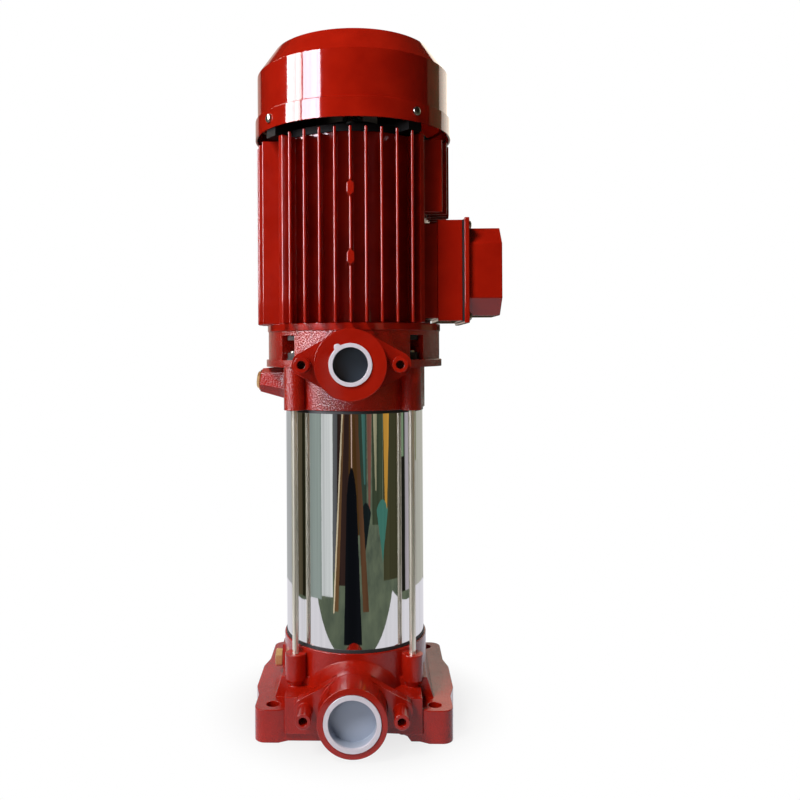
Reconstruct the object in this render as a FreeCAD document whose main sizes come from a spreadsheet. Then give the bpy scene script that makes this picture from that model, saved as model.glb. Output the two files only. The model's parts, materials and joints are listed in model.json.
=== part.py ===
import FreeCAD, Part
import math
import operator
import os
import Sketcher
from FreeCAD import Placement, Rotation, Vector

# A vertical multistage fire pump: foot casting, polished sleeve with the stages inside, head casting with the
# outlet, and a fan-cooled motor on top. Z is up and is the shaft's axis, the floor is at z = 0, and both
# ports face -Y.

# Driving sizes in millimetres (angles in degrees, counts plain): name, value, what it is.
DIMENSIONS = [
    ("foot_width", 212, "foot plate, side to side at its corners"),
    ("foot_depth", 198, "foot plate, front to rear"),
    ("foot_height", 35, "foot plate, floor to top"),
    ("foot_corner_radius", 12, "foot plate, rounding of its four corners"),
    ("foot_bulge", 5, "how far the middle of each side stands out"),
    ("foot_recess", 5, "how far the front and rear walls stand back between the feet"),
    ("foot_pad_width", 26, "width of each foot's front face"),
    ("foot_hole_spacing_x", 174, "foot bolts, side to side"),
    ("foot_hole_spacing_y", 168, "foot bolts, front to rear"),
    ("foot_hole_radius", 7, "foot bolt hole, clearance for M12"),
    ("foot_shell", 8, "wall of the foot around its hollow underside"),
    ("foot_hollow_depth", 9, "depth of the hollow underside"),
    ("foot_arch_height", 11, "arch under the front wall, right of the inlet"),
    ("foot_arch_end", 61, "where that arch meets the floor, from the axis"),
    ("shoulder_width", 174, "raised block round the drum, side to side at the foot"),
    ("shoulder_depth", 132, "that block, front to rear"),
    ("shoulder_height", 22, "that block above the foot's top"),
    ("shoulder_draft", 7, "how far that block's sides lean in"),
    ("brow_width", 146, "wall behind the inlet's lobes, side to side"),
    ("brow_height", 13, "that wall above the foot's top"),
    ("hood_root_radius", 61.5, "flared inlet neck where it runs out into the drum"),
    ("hood_root_stand", 56, "that place, in front of the axis"),
    ("drum_radius", 82.6, "cast drum that carries the sleeve, foot and head alike"),
    ("base_height", 88, "floor to the foot casting's top face"),
    ("base_cavity_radius", 62, "suction chamber"),
    ("base_cavity_floor", 16, "floor of the suction chamber above the ground"),
    ("spider_seat_radius", 72, "recess that holds the bearing spider"),
    ("spider_thickness", 8, "bearing spider's plate and the depth of its recess"),
    ("sleeve_radius", 80, "polished sleeve, outside"),
    ("sleeve_wall", 2, "polished sleeve, wall"),
    ("sleeve_length", 255, "polished sleeve, length"),
    ("sleeve_seal_thickness", 3.5, "black seal ring under and over the sleeve"),
    ("sleeve_seal_lip", 0.7, "how far the seal rings show outside the sleeve"),
    ("bolt_circle_radius", 91, "tie rods and motor bolts, distance from the axis"),
    ("tie_rod_radius", 3.55, "tie rod's rolled shank"),
    ("tie_thread_radius", 3.9, "M8 thread, outside"),
    ("tie_thread_length", 22, "threaded length in the foot casting"),
    ("tie_boss_radius", 11.5, "round boss for each tie rod"),
    ("tie_boss_drop", 5, "foot casting's tie rod bosses, below its top face"),
    ("tie_boss_height", 27, "straight height of those bosses"),
    ("tie_hole_radius", 4.3, "clearance hole for a tie rod or motor bolt"),
    ("washer_thickness", 1.6, "M8 washer"),
    ("washer_radius", 8, "M8 washer, outside"),
    ("nut_height", 6.5, "M8 nut"),
    ("nut_flats", 13, "M8 nut and bolt head, across flats"),
    ("bolt_head_height", 5.3, "M8 bolt head"),
    ("motor_bolt_length", 12, "motor bolt under its head"),
    ("port_reach", 142, "axis to the face of both port rings"),
    ("port_ring_gap", 3, "back of each port ring, in front of the motor's rim"),
    ("port_ring_stand", 30, "port ring's length in front of its lobes"),
    ("port_lobe_spacing", 100, "flange bolts of a port, hole to hole"),
    ("port_lobe_radius", 12.5, "rounding of each lobe"),
    ("port_lobe_thickness", 14, "lobes, front to back"),
    ("port_boss_radius", 8, "round boss on each lobe"),
    ("port_boss_length", 26, "how far each boss stands off its lobe"),
    ("port_bolt_radius", 4.25, "tapping hole for M10"),
    ("port_bolt_depth", 22, "depth of that hole"),
    ("inlet_height", 40.6, "inlet axis above the floor"),
    ("inlet_ring_radius", 36, "inlet ring, outside"),
    ("inlet_thread_radius", 28.35, "G2 internal thread, minor radius"),
    ("inlet_passage_radius", 24, "passage behind the inlet thread"),
    ("outlet_rise", 51, "outlet axis above the head's lower face"),
    ("outlet_ring_radius", 36.75, "outlet ring, outside"),
    ("outlet_thread_radius", 19.48, "G1 1/4 internal thread, minor radius"),
    ("outlet_passage_radius", 17, "passage behind the outlet thread"),
    ("port_thread_length", 24, "threaded length of both ports"),
    ("cap_flange_thickness", 1.5, "flange of a plastic port cap"),
    ("cap_depth", 15, "how deep a cap reaches into its port"),
    ("cap_bottom", 1.5, "closed end of a cap"),
    ("inlet_cap_flange_radius", 29.4, "inlet cap's flange"),
    ("inlet_cap_mouth_radius", 24.4, "inlet cap's open cup"),
    ("outlet_cap_flange_radius", 22, "outlet cap's flange"),
    ("outlet_cap_mouth_radius", 17.75, "outlet cap's open cup"),
    ("cap_tab_radius", 3.6, "rounded pull tab on the outlet cap"),
    ("cap_tab_angle", 126, "pull tab's place round the cap, from +X towards +Z"),
    ("cap_clearance", 0.28, "cap to the thread's crests"),
    ("head_drum_height", 47, "head casting's lower drum"),
    ("head_shelf_radius", 102.5, "shelf that carries the tie rod nuts"),
    ("head_shelf_thickness", 8, "that shelf"),
    ("head_bracket_radius", 100, "round bracket between the shelf and the motor"),
    ("head_bracket_height", 32, "that bracket"),
    ("head_rim_thickness", 5, "bracket's top rim over the bolt pockets"),
    ("head_chamber_radius", 66, "discharge chamber"),
    ("head_chamber_height", 70, "discharge chamber"),
    ("pocket_width", 21, "bolt pockets in the bracket"),
    ("pocket_depth", 20, "bolt pockets, inwards from the bracket's outside"),
    ("discharge_space", 37, "room above the last stage inside the sleeve"),
    ("stage_wall", 2.5, "stage bowl, wall and floor"),
    ("stage_eye_radius", 27, "hole in each bowl's floor"),
    ("stage_clearance", 0.3, "bowl to sleeve"),
    ("wear_ring_height", 5, "wear ring in each bowl's eye"),
    ("eye_clearance", 0.5, "impeller neck inside its wear ring"),
    ("neck_radius", 23.5, "impeller's suction neck, outside"),
    ("neck_wall", 2.5, "impeller's suction neck, wall"),
    ("neck_height", 6, "bowl floor to the impeller's lower shroud"),
    ("impeller_radius", 62, "impeller, outside"),
    ("shroud_thickness", 2, "impeller shrouds"),
    ("vane_height", 8, "impeller passage between the shrouds"),
    ("impeller_hub_radius", 13, "impeller hub"),
    ("impeller_hub_rise", 24, "bowl floor to the hub's top"),
    ("diffuser_gap", 2.5, "impeller to the diffuser above it"),
    ("diffuser_bore_radius", 15, "hole in the middle of a diffuser"),
    ("vane_thickness", 2, "vanes of impellers and diffusers"),
    ("vane_inset", 2, "how far the vanes stop short of the passages' ends"),
    ("impeller_vane_count", 6, "vanes of an impeller"),
    ("diffuser_vane_start", 10, "diffuser vanes beyond the diffuser's bore"),
    ("diffuser_vane_count", 8, "vanes of a diffuser"),
    ("spacer_radius", 11.5, "spacer sleeves between the impellers"),
    ("pump_shaft_radius", 8, "shaft through the impellers"),
    ("seal_shaft_radius", 12.5, "shaft at the mechanical seal"),
    ("bearing_bore_radius", 15, "shaft at both ball bearings"),
    ("rotor_seat_radius", 17, "shaft inside the rotor core"),
    ("fan_seat_radius", 12, "shaft at the cooling fan"),
    ("shaft_tail", 26, "shaft below the foot casting's top face"),
    ("shaft_end_stand", 4, "shaft beyond the cooling fan"),
    ("shaft_thread_end", 1, "shaft's thread below the nut"),
    ("shaft_nut_height", 10, "nut under the impeller stack"),
    ("shaft_nut_flats", 24, "that nut, across flats"),
    ("spider_rim_width", 8, "bearing spider's rim"),
    ("spider_hub_wall", 5, "bearing spider's hub round the bush"),
    ("spider_arm_width", 6, "bearing spider's three arms"),
    ("bush_rise", 4, "bush and spider hub above the foot casting's top face"),
    ("bush_length", 16, "lower bearing bush"),
    ("bush_radius", 12, "lower bearing bush, outside"),
    ("bush_clearance", 0.05, "running clearance of the shaft in the bush"),
    ("seal_outer_radius", 19, "mechanical seal, outside"),
    ("seal_seat_height", 10, "fixed seal seat"),
    ("seal_head_height", 10, "turning seal head"),
    ("seal_bellows_height", 23, "folded steel bellows that press the seal head up"),
    ("seal_bellows_wall", 0.8, "bellows' wall, measured level"),
    ("seal_bellows_folds", 5, "bellows' folds"),
    ("seal_collar_height", 4, "shaft's collar under the bellows"),
    ("seal_ring_clearance", 1, "shaft to the fixed seat, and the bellows to the seal's outside"),
    ("seal_gap", 0.1, "film between the seal faces"),
    ("press_gap", 0.05, "gap left where one piece is fitted into another"),
    ("air_gap", 0.4, "stator to rotor"),
    ("motor_flange_thickness", 8, "motor's lower end shield, rim"),
    ("motor_flange_radius", 101, "motor's lower end shield, rim"),
    ("motor_spigot_radius", 84, "spigots that centre the motor on the head"),
    ("motor_spigot_height", 5, "that spigot"),
    ("register_height", 6, "rims of both end shields that centre the motor frame"),
    ("register_wall", 5, "those rims"),
    ("bearing_shoulder", 2, "wall behind each ball bearing"),
    ("drive_bearing_radius", 36, "drive end ball bearing, outside"),
    ("drive_bearing_width", 19, "drive end ball bearing"),
    ("fan_bearing_radius", 31, "fan end ball bearing, outside"),
    ("fan_bearing_width", 16, "fan end ball bearing"),
    ("bearing_ring_wall", 4.5, "each ball bearing ring"),
    ("bearing_ball_count", 8, "balls in each bearing"),
    ("wave_spring_width", 3, "wave spring over the fan end bearing"),
    ("wave_spring_height", 2, "that spring, pressed flat"),
    ("hub_wall", 7, "bearing housing's wall in both end shields"),
    ("frame_bore_radius", 84, "motor frame, inside"),
    ("frame_wall", 6, "motor frame, wall under its fins"),
    ("frame_ends", 75, "motor frame beyond the stator core, both ends together"),
    ("fin_reach", 112, "fin tips' distance from the axis"),
    ("fin_thickness", 3, "cooling fins"),
    ("fin_bite", 2, "how deep the fins are sunk into the frame's wall"),
    ("side_fin_gap", 9, "terminal box to the fins above it"),
    ("fin_pitch", 16.4, "cooling fins, spacing"),
    ("corner_fin_reach", 109, "thick fins on the four corners"),
    ("corner_fin_thickness", 7, "thick fins on the four corners"),
    ("pad_width", 8.3, "lozenge pads on the middle front fin"),
    ("pad_height", 17.6, "lozenge pads on the middle front fin"),
    ("pad_stand", 1, "those pads beyond the fin's tip"),
    ("pad_depth", 10, "those pads, front to back"),
    ("pad_low_rise", 68, "lower pad above the frame's foot"),
    ("pad_high_rise", 140, "upper pad above the frame's foot"),
    ("core_rise", 35, "stator core above the frame's foot"),
    ("core_length", 130, "stator and rotor cores"),
    ("rotor_radius", 55, "rotor core, outside"),
    ("slot_count", 24, "stator slots"),
    ("slot_width", 7, "stator slots"),
    ("slot_depth", 17, "stator slots"),
    ("slot_lip", 2, "iron between a slot and the bore"),
    ("winding_overhang", 22, "end turns beyond the core"),
    ("shield_thickness", 8, "fan end shield"),
    ("hub_cap_height", 7, "fan end shield over the bearing"),
    ("lug_root", 20, "start of the cover's lugs, from the bearing's hub"),
    ("lug_drop", 2.7, "lugs below the top of the cover's band"),
    ("lug_width", 18, "lugs that the fan cover is screwed to"),
    ("cover_gap", 9, "frame's top to the fan cover's open rim"),
    ("cover_band_radius", 114, "fan cover's lower band"),
    ("cover_band_height", 21, "fan cover's lower band"),
    ("cover_radius", 111.4, "fan cover above its band"),
    ("cover_step", 1.5, "height of the step between the band and the wall above"),
    ("cover_straight_height", 51.5, "fan cover's straight wall above the band"),
    ("cover_cone_height", 27.5, "fan cover's sloping top"),
    ("cover_top_radius", 92, "fan cover's flat top"),
    ("cover_wall", 1.8, "fan cover's sheet"),
    ("cover_screw_turn", -7, "how far the cover's screws are turned from the diagonals"),
    ("cover_screw_rise", 11, "cover's screws above its open rim"),
    ("grille_slot_count", 24, "air slots in the cover's top"),
    ("grille_slot_width", 6, "air slots"),
    ("grille_inner_radius", 34, "air slots"),
    ("grille_outer_radius", 82, "air slots"),
    ("screw_radius", 2.45, "M5 screw"),
    ("screw_head_radius", 4.75, "M5 pan head"),
    ("screw_head_height", 3.2, "M5 pan head"),
    ("screw_length", 12, "M5 screw under its head"),
    ("fan_radius", 88, "cooling fan"),
    ("fan_height", 28, "cooling fan's blades"),
    ("fan_rise", 38, "fan above the frame's top"),
    ("fan_hub_radius", 22, "cooling fan's hub"),
    ("fan_blade_count", 8, "cooling fan's blades"),
    ("fan_disc_inset", 6, "cooling fan's disc inside the blades' tips"),
    ("fan_disc_thickness", 3, "cooling fan's disc"),
    ("fan_blade_thickness", 2.5, "cooling fan's blades"),
    ("fan_hub_drop", 6, "cooling fan's hub below the blades' tops"),
    ("clip_width", 5, "ring that holds the fan on"),
    ("clip_thickness", 1.5, "ring that holds the fan on"),
    ("box_stand", 95, "axis to the back of the terminal box"),
    ("box_face", 122.4, "axis to the open face of the terminal box"),
    ("box_width", 106, "terminal box, front to rear"),
    ("box_rise", 2.6, "terminal box's underside above the motor frame's foot"),
    ("box_height", 112.4, "terminal box, top to bottom"),
    ("box_wall", 3.2, "terminal box and cover walls"),
    ("saddle_depth", 40, "block of the frame behind the terminal box"),
    ("saddle_inset", 3, "that block inside the box's outline"),
    ("post_inset", 0.5, "screw posts from the box's outside"),
    ("box_gasket_thickness", 2, "gasket under the terminal cover"),
    ("box_rim_thickness", 5.6, "rim of the terminal cover"),
    ("box_rim_overhang", 2.5, "how far that rim stands over the box"),
    ("box_dome_height", 37, "raised part of the terminal cover"),
    ("box_dome_width", 100, "raised part, front to rear"),
    ("box_dome_margin", 6.5, "rim above and below the raised part"),
    ("box_dome_chamfer", 19, "cut corners of the raised part"),
    ("wire_hole_radius", 12, "hole for the leads from motor to terminal box"),
    ("board_size", 56, "terminal board, front to rear"),
    ("board_height", 33.6, "terminal board, top to bottom"),
    ("stud_pitch", 16, "terminal studs, front to rear"),
    ("stud_row_pitch", 16.8, "terminal studs, row to row"),
    ("board_thickness", 7, "terminal board"),
    ("stud_radius", 2, "terminal studs"),
    ("stud_nut_height", 3, "nuts on the terminal studs"),
    ("stud_length", 20, "terminal studs, from the back of the board"),
    ("gland_radius", 10, "cable gland's M20 thread"),
    ("gland_flats", 24, "cable gland, across flats"),
    ("gland_thread_end", 6, "cable gland's thread inside the box's wall"),
    ("gland_collar", 3, "cable gland's collar against the box"),
    ("gland_body", 8, "cable gland's hexagon"),
    ("gland_nut_end", 14, "cable gland's straight part"),
    ("gland_length", 20, "cable gland outside the box"),
    ("gland_taper", 4, "how far its end closes in"),
    ("gland_hole_radius", 5.5, "cable gland, free bore"),
    ("plug_height", 28.6, "filling spout's axis above the head's lower face, at the drum"),
    ("plug_tilt", 5, "filling spout, tilt of its axis above level"),
    ("spout_turn", 8, "six-sided filling spout, turned about its own axis"),
    ("spout_root_depth", 15, "how deep the spout's root is sunk into the drum"),
    ("spout_root_flats", 38, "six-sided filling spout, across flats at its root"),
    ("spout_tip_flats", 24, "six-sided filling spout, across flats at its end"),
    ("spout_length", 27, "filling spout, beyond the drum"),
    ("plug_flats", 17, "filling plug's hexagon"),
    ("plug_length", 3.4, "filling plug's hexagon, length"),
    ("plug_thread_radius", 8.3, "G3/8 thread of the filling plug"),
    ("plug_thread_length", 12, "thread of the filling plug"),
    ("drain_height", 53, "drain plug's axis above the floor"),
    ("drain_flats", 18, "drain plug's hexagon"),
    ("drain_length", 7.5, "drain plug's hexagon, length"),
    ("drain_thread_radius", 6.5, "G1/4 thread of the drain plug"),
    ("drain_thread_length", 10, "thread of the drain plug"),
    ("plug_washer_thickness", 1.2, "sealing washers under both plugs"),
    ("drain_boss_stand", 2.5, "spot-faced boss under the drain plug, beyond the drum"),
    ("drain_boss_width", 22, "that boss, front to rear"),
    ("drain_boss_height", 37, "that boss above the foot's top"),
    ("thread_clearance", 0.08, "running clearance of a plug in its thread"),
]

OPERATIONS = {"+": operator.add, "-": operator.sub, "*": operator.mul, "/": operator.truediv}


class Size:
    """A size as a number, and as the formula over the sheet's cells that gives it."""

    def __init__(self, value, formula):
        self.value = float(value)
        self.formula = formula

    def __add__(self, other):
        return combined(self, "+", other)

    def __radd__(self, other):
        return combined(other, "+", self)

    def __sub__(self, other):
        return combined(self, "-", other)

    def __rsub__(self, other):
        return combined(other, "-", self)

    def __mul__(self, other):
        return combined(self, "*", other)

    def __rmul__(self, other):
        return combined(other, "*", self)

    def __truediv__(self, other):
        return combined(self, "/", other)

    def __neg__(self):
        return combined(0, "-", self)


def sized(number):
    return number if isinstance(number, Size) else Size(number, f"({float(number)!r})")


def combined(left, sign, right):
    left, right = sized(left), sized(right)
    return Size(OPERATIONS[sign](left.value, right.value), f"({left.formula} {sign} {right.formula})")


def cosine(angle):
    angle = sized(angle)
    return Size(math.cos(math.radians(angle.value)), f"cos({angle.formula})")


def sine(angle):
    angle = sized(angle)
    return Size(math.sin(math.radians(angle.value)), f"sin({angle.formula})")


def root(area):
    area = sized(area)
    return Size(math.sqrt(area.value), f"sqrt({area.formula})")


class Sheet:
    """The spreadsheet of driving sizes; each cell is read as an attribute."""

    def __init__(self, document):
        self.cells = document.addObject("Spreadsheet::Sheet", "Sizes")
        for row, (name, value, meaning) in enumerate(DIMENSIONS, start=1):
            self.cells.set(f"A{row}", meaning)
            self.cells.set(f"B{row}", str(value))
            self.cells.setAlias(f"B{row}", name)
        document.recompute()

    def __getattr__(self, name):
        return Size(self.cells.get(name), f"Sizes.{name}")


doc = FreeCAD.newDocument("fire_pump")
d = Sheet(doc)
subparts = []

# Heights of the main joints, floor upwards.
sleeve_foot = d.base_height + d.sleeve_seal_thickness
sleeve_top = sleeve_foot + d.sleeve_length
head_foot = sleeve_top + d.sleeve_seal_thickness
tie_boss_top = d.base_height - d.tie_boss_drop
shelf_foot = head_foot + d.head_drum_height
shelf_top = shelf_foot + d.head_shelf_thickness
head_top = shelf_top + d.head_bracket_height
pocket_top = head_top - d.head_rim_thickness
chamber_top = head_foot + d.head_chamber_height
outlet_height = head_foot + d.outlet_rise
frame_foot = head_top + d.motor_flange_thickness
frame_length = d.core_length + d.frame_ends
frame_top = frame_foot + frame_length
core_foot = frame_foot + d.core_rise
core_top = core_foot + d.core_length
drive_bearing_foot = head_top + d.bearing_shoulder
drive_bearing_top = drive_bearing_foot + d.drive_bearing_width
fan_bearing_foot = frame_top + d.bearing_shoulder
fan_bearing_top = fan_bearing_foot + d.fan_bearing_width
fan_foot = frame_top + d.fan_rise
fan_top = fan_foot + d.fan_height
cover_foot = frame_top + d.cover_gap
cover_band_top = cover_foot + d.cover_band_height
cover_wall_top = cover_band_top + d.cover_straight_height
cover_top = cover_wall_top + d.cover_cone_height
box_low = frame_foot + d.box_rise
box_high = box_low + d.box_height
box_middle = (box_low + box_high) / 2
port_ring_back = d.motor_flange_radius + d.port_ring_gap
stack_bore = d.sleeve_radius - d.sleeve_wall - d.stage_clearance
STAGES = 5
HOOD_STEPS = 5
stage_pitch = (head_foot - d.base_height - d.discharge_space) / STAGES
QUARTERS = (45, 135, 225, 315)

DIRECTIONS = {
    "+Z": Rotation(),
    "-Z": Rotation(Vector(1, 0, 0), 180),
    "+X": Rotation(Vector(0, 1, 0), 90),
    "-X": Rotation(Vector(0, 1, 0), -90),
    "+Y": Rotation(Vector(1, 0, 0), -90),
    "-Y": Rotation(Vector(1, 0, 0), 90),
}


# Helpers that make, place and join shapes.
def keep(shape, label):
    shape.Label = label
    subparts.append(shape)
    return shape


def put(thing, x=0, y=0, z=0, rotation=None):
    places = [sized(x), sized(y), sized(z)]
    thing.Placement = Placement(Vector(*[place.value for place in places]), rotation or Rotation())
    for letter, place in zip("xyz", places):
        thing.setExpression(f"Placement.Base.{letter}", place.formula)
    return thing


def bind(thing, **sizes):
    for name, size in sizes.items():
        thing.setExpression(name, sized(size).formula)
    return thing


def cylinder(name, radius, height, x=0, y=0, z=0, direction="+Z"):
    made = bind(doc.addObject("Part::Cylinder", name), Radius=radius, Height=height)
    return put(made, x, y, z, DIRECTIONS[direction])


def cone(name, low_radius, high_radius, height, x=0, y=0, z=0, direction="+Z"):
    made = bind(doc.addObject("Part::Cone", name), Radius1=low_radius, Radius2=high_radius, Height=height)
    return put(made, x, y, z, DIRECTIONS[direction])


def box(name, low, high, turn=0):
    """A box between two corners, turned about the Z axis through the origin."""
    low, high = [sized(v) for v in low], [sized(v) for v in high]
    spans = [top - bottom for bottom, top in zip(low, high)]
    made = bind(doc.addObject("Part::Box", name), Length=spans[0], Width=spans[1], Height=spans[2])
    across = low[0] * cosine(turn) - low[1] * sine(turn)
    along = low[0] * sine(turn) + low[1] * cosine(turn)
    return put(made, across, along, low[2], Rotation(Vector(0, 0, 1), sized(turn).value))


def hexagon(name, flats, height):
    made = doc.addObject("Part::Prism", name)
    made.Polygon = 6
    return bind(made, Circumradius=flats / math.sqrt(3), Height=height)


def fused(name, shapes):
    made = doc.addObject("Part::MultiFuse", name)
    made.Shapes = shapes
    made.Refine = True
    return made


def shared(name, shapes):
    made = doc.addObject("Part::MultiCommon", name)
    made.Shapes = shapes
    return made


def cut(name, base, tools, refine=True):
    made = doc.addObject("Part::Cut", name)
    made.Base = base
    made.Tool = fused(name + "_cutters", tools) if len(tools) > 1 else tools[0]
    made.Refine = refine
    return made


def group(name, shapes):
    made = doc.addObject("Part::Compound", name)
    made.Links = shapes
    return made


def ring_of(name, source, places):
    """Copies of one shape as separate solids, each at an (x, y, z, rotation) of its own."""
    return group(name, linked_copies(name, source, places))


def linked_copies(name, source, places):
    copies = []
    for number, (x, y, z, rotation) in enumerate(places, start=1):
        link = doc.addObject("App::Link", f"{name}_{number}")
        link.LinkedObject = source
        copies.append(put(link, x, y, z, rotation))
    return copies


def round_the_axis(radius, height, angles):
    """Places on a circle about the Z axis, each turned to its own angle."""
    places = []
    for angle in angles:
        turn = Rotation(Vector(0, 0, 1), sized(angle).value)
        places.append((radius * cosine(angle), radius * sine(angle), height, turn))
    return places


def new_body(name):
    return doc.addObject("PartDesign::Body", name)


def origin_feature(body, role):
    return next(feature for feature in body.Origin.OriginFeatures if feature.Role == role)


def outline(body, name, plane, loops, lift=0):
    """A sketch of closed straight-sided outlines, every corner held by its own two sizes."""
    sketch = body.newObject("Sketcher::SketchObject", name)
    sketch.AttachmentSupport = (origin_feature(body, plane), [""])
    sketch.MapMode = "FlatFace"
    sketch.setExpression("AttachmentOffset.Base.z", sized(lift).formula)
    for loop in loops:
        first = sketch.GeometryCount
        corners = [(sized(u), sized(v)) for u, v in loop]
        points = [Vector(u.value, v.value, 0) for u, v in corners]
        sides = [Part.LineSegment(a, b) for a, b in zip(points, points[1:] + points[:1])]
        sketch.addGeometry(sides, False)
        for number in range(len(corners)):
            after = (number + 1) % len(corners)
            sketch.addConstraint(Sketcher.Constraint("Coincident", first + number, 2, first + after, 1))
        for number, corner in enumerate(corners):
            hold_corner(sketch, first + number, corner)
    return sketch


def hold_corner(sketch, line, corner):
    """Hold the line's first end at its distances from the sketch's origin, or on an axis of it."""
    for kind, axis, size in zip(("DistanceX", "DistanceY"), (-2, -1), corner):
        if size.value == 0:
            sketch.addConstraint(Sketcher.Constraint("PointOnObject", line, 1, axis))
            continue
        held = sketch.addConstraint(Sketcher.Constraint(kind, -1, 1, line, 1, size.value))
        sketch.setExpression(f"Constraints[{held}]", size.formula)


def turned(name, *loops):
    """A body turned about its Z axis from closed outlines of (radius, height) corners."""
    body = new_body(name)
    profile = outline(body, name + "_profile", "XZ_Plane", loops)
    turn = body.newObject("PartDesign::Revolution", name + "_turned")
    turn.Profile = profile
    turn.ReferenceAxis = (profile, ["V_Axis"])
    turn.Angle = 360
    return body


def padded(body, name, plane, loop, length, lift=0):
    """A straight extrusion of one outline on a plane of its body."""
    pad = body.newObject("PartDesign::Pad", name)
    pad.Profile = outline(body, name + "_outline", plane, [loop], lift)
    return bind(pad, Length=length)


def ring(name, inner, outer, low, high):
    """A plain turned ring of rectangular section."""
    return turned(name, [(inner, low), (outer, low), (outer, high), (inner, high)])


def patterned(body, name, original, count):
    """Copies of a feature in a full circle about the body's Z axis."""
    pattern = body.newObject("PartDesign::PolarPattern", name)
    pattern.Originals = [original]
    pattern.Axis = (origin_feature(body, "Z_Axis"), [""])
    pattern.Angle = 360
    bind(pattern, Occurrences=count)
    body.Tip = pattern
    return body


def rounded_uprights(body, name, picks):
    """Round the body's upright edges: picks gives each edge's radius from its (x, y), or None."""
    doc.recompute()
    base = body.Tip
    for number, (radius, wanted) in enumerate(picks, start=1):
        names = []
        for index, edge in enumerate(base.Shape.Edges, start=1):
            ends = [vertex.Point for vertex in edge.Vertexes]
            upright = len(ends) == 2 and math.hypot(ends[0].x - ends[1].x, ends[0].y - ends[1].y) < 0.01
            if upright and wanted(ends[0].x, ends[0].y):
                names.append(f"Edge{index}")
        fillet = body.newObject("PartDesign::Fillet", f"{name}_{number}")
        fillet.Base = (base, names)
        bind(fillet, Radius=radius)
        doc.recompute()
        base = fillet
    return body


# Ports: what one port adds to its casting, and what opens it.
def port_solids(name, height, ring_radius):
    lobe_face = d.port_reach - d.port_ring_stand
    lobe_back = lobe_face - d.port_lobe_thickness
    half = d.port_lobe_spacing / 2
    lean = (ring_radius - d.port_lobe_radius) / half
    upright = root(1 - lean * lean)
    near = (ring_radius * lean, ring_radius * upright)
    far = (half + d.port_lobe_radius * lean, d.port_lobe_radius * upright)
    right = [(near[0], near[1]), (far[0], far[1]), (far[0], -far[1]), (near[0], -near[1])]
    left = [(-u, v) for u, v in reversed(right)]
    diamond = new_body(name + "_diamond")
    padded(diamond, name + "_diamond_pad", "XZ_Plane", right + left, d.port_lobe_thickness, lobe_back)
    put(diamond, z=height)
    solids = [
        diamond,
        cylinder(name + "_ring", ring_radius, d.port_reach - port_ring_back, y=-port_ring_back, z=height,
                 direction="-Y"),
    ]
    for side, x in (("left", -half), ("right", half)):
        solids.append(cylinder(f"{name}_lobe_{side}", d.port_lobe_radius, d.port_lobe_thickness,
                               x, -lobe_back, height, "-Y"))
        solids.append(cylinder(f"{name}_boss_{side}", d.port_boss_radius, d.port_boss_length,
                               x, -lobe_face, height, "-Y"))
    return solids


def port_cutters(name, height, thread_radius, passage_radius):
    half = d.port_lobe_spacing / 2
    boss_face = d.port_reach - d.port_ring_stand + d.port_boss_length
    thread_end = d.port_reach - d.port_thread_length
    chamfer = 1.5
    cutters = [
        cylinder(name + "_thread", thread_radius, d.port_thread_length, y=-thread_end, z=height,
                 direction="-Y"),
        cone(name + "_lead_in", thread_radius, thread_radius + chamfer, chamfer,
             y=chamfer - d.port_reach, z=height, direction="-Y"),
        cylinder(name + "_passage", passage_radius, thread_end - d.base_cavity_radius / 2,
                 y=-d.base_cavity_radius / 2, z=height, direction="-Y"),
    ]
    for side, x in (("left", -half), ("right", half)):
        cutters.append(cylinder(f"{name}_bolt_{side}", d.port_bolt_radius, d.port_bolt_depth,
                                x, d.port_bolt_depth - boss_face, height, "-Y"))
    return cutters


def tie_rod_places(height):
    return round_the_axis(d.bolt_circle_radius, height, QUARTERS)


def cylinders_on_circle(name, radius, height, foot):
    return [cylinder(f"{name}_{number}", radius, height, x, y, z)
            for number, (x, y, z, _) in enumerate(tie_rod_places(foot), start=1)]


# Foot casting.
def foot_plate():
    half_width, half_depth = d.foot_width / 2, d.foot_depth / 2
    pad_inner = half_width - d.foot_pad_width
    wall = half_depth - d.foot_recess
    bulge = half_width + d.foot_bulge
    bulge_front, bulge_rear, slope = 38, 20, 22
    right = [
        (pad_inner - 2 * d.foot_recess, -wall),
        (pad_inner, -half_depth),
        (half_width, -half_depth),
        (half_width, -bulge_front - slope),
        (bulge, -bulge_front),
        (bulge, bulge_rear),
        (half_width, bulge_rear + slope),
        (half_width, half_depth),
        (pad_inner, half_depth),
        (pad_inner - 2 * d.foot_recess, wall),
    ]
    left = [(-x, y) for x, y in reversed(right)]
    plate = new_body("foot_plate")
    padded(plate, "foot_plate_pad", "XY_Plane", right + left, d.foot_height)
    corner_x, corner_y = half_width.value, half_depth.value

    def at_corner(x, y):
        return abs(abs(x) - corner_x) < 0.1 and abs(abs(y) - corner_y) < 0.1

    def on_bulge(x, y):
        return abs(x) > corner_x - 0.1 and not at_corner(x, y)

    picks = [(d.foot_corner_radius, at_corner), (3 * d.foot_bulge, on_bulge)]
    return rounded_uprights(plate, "foot_corner", picks)


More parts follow.
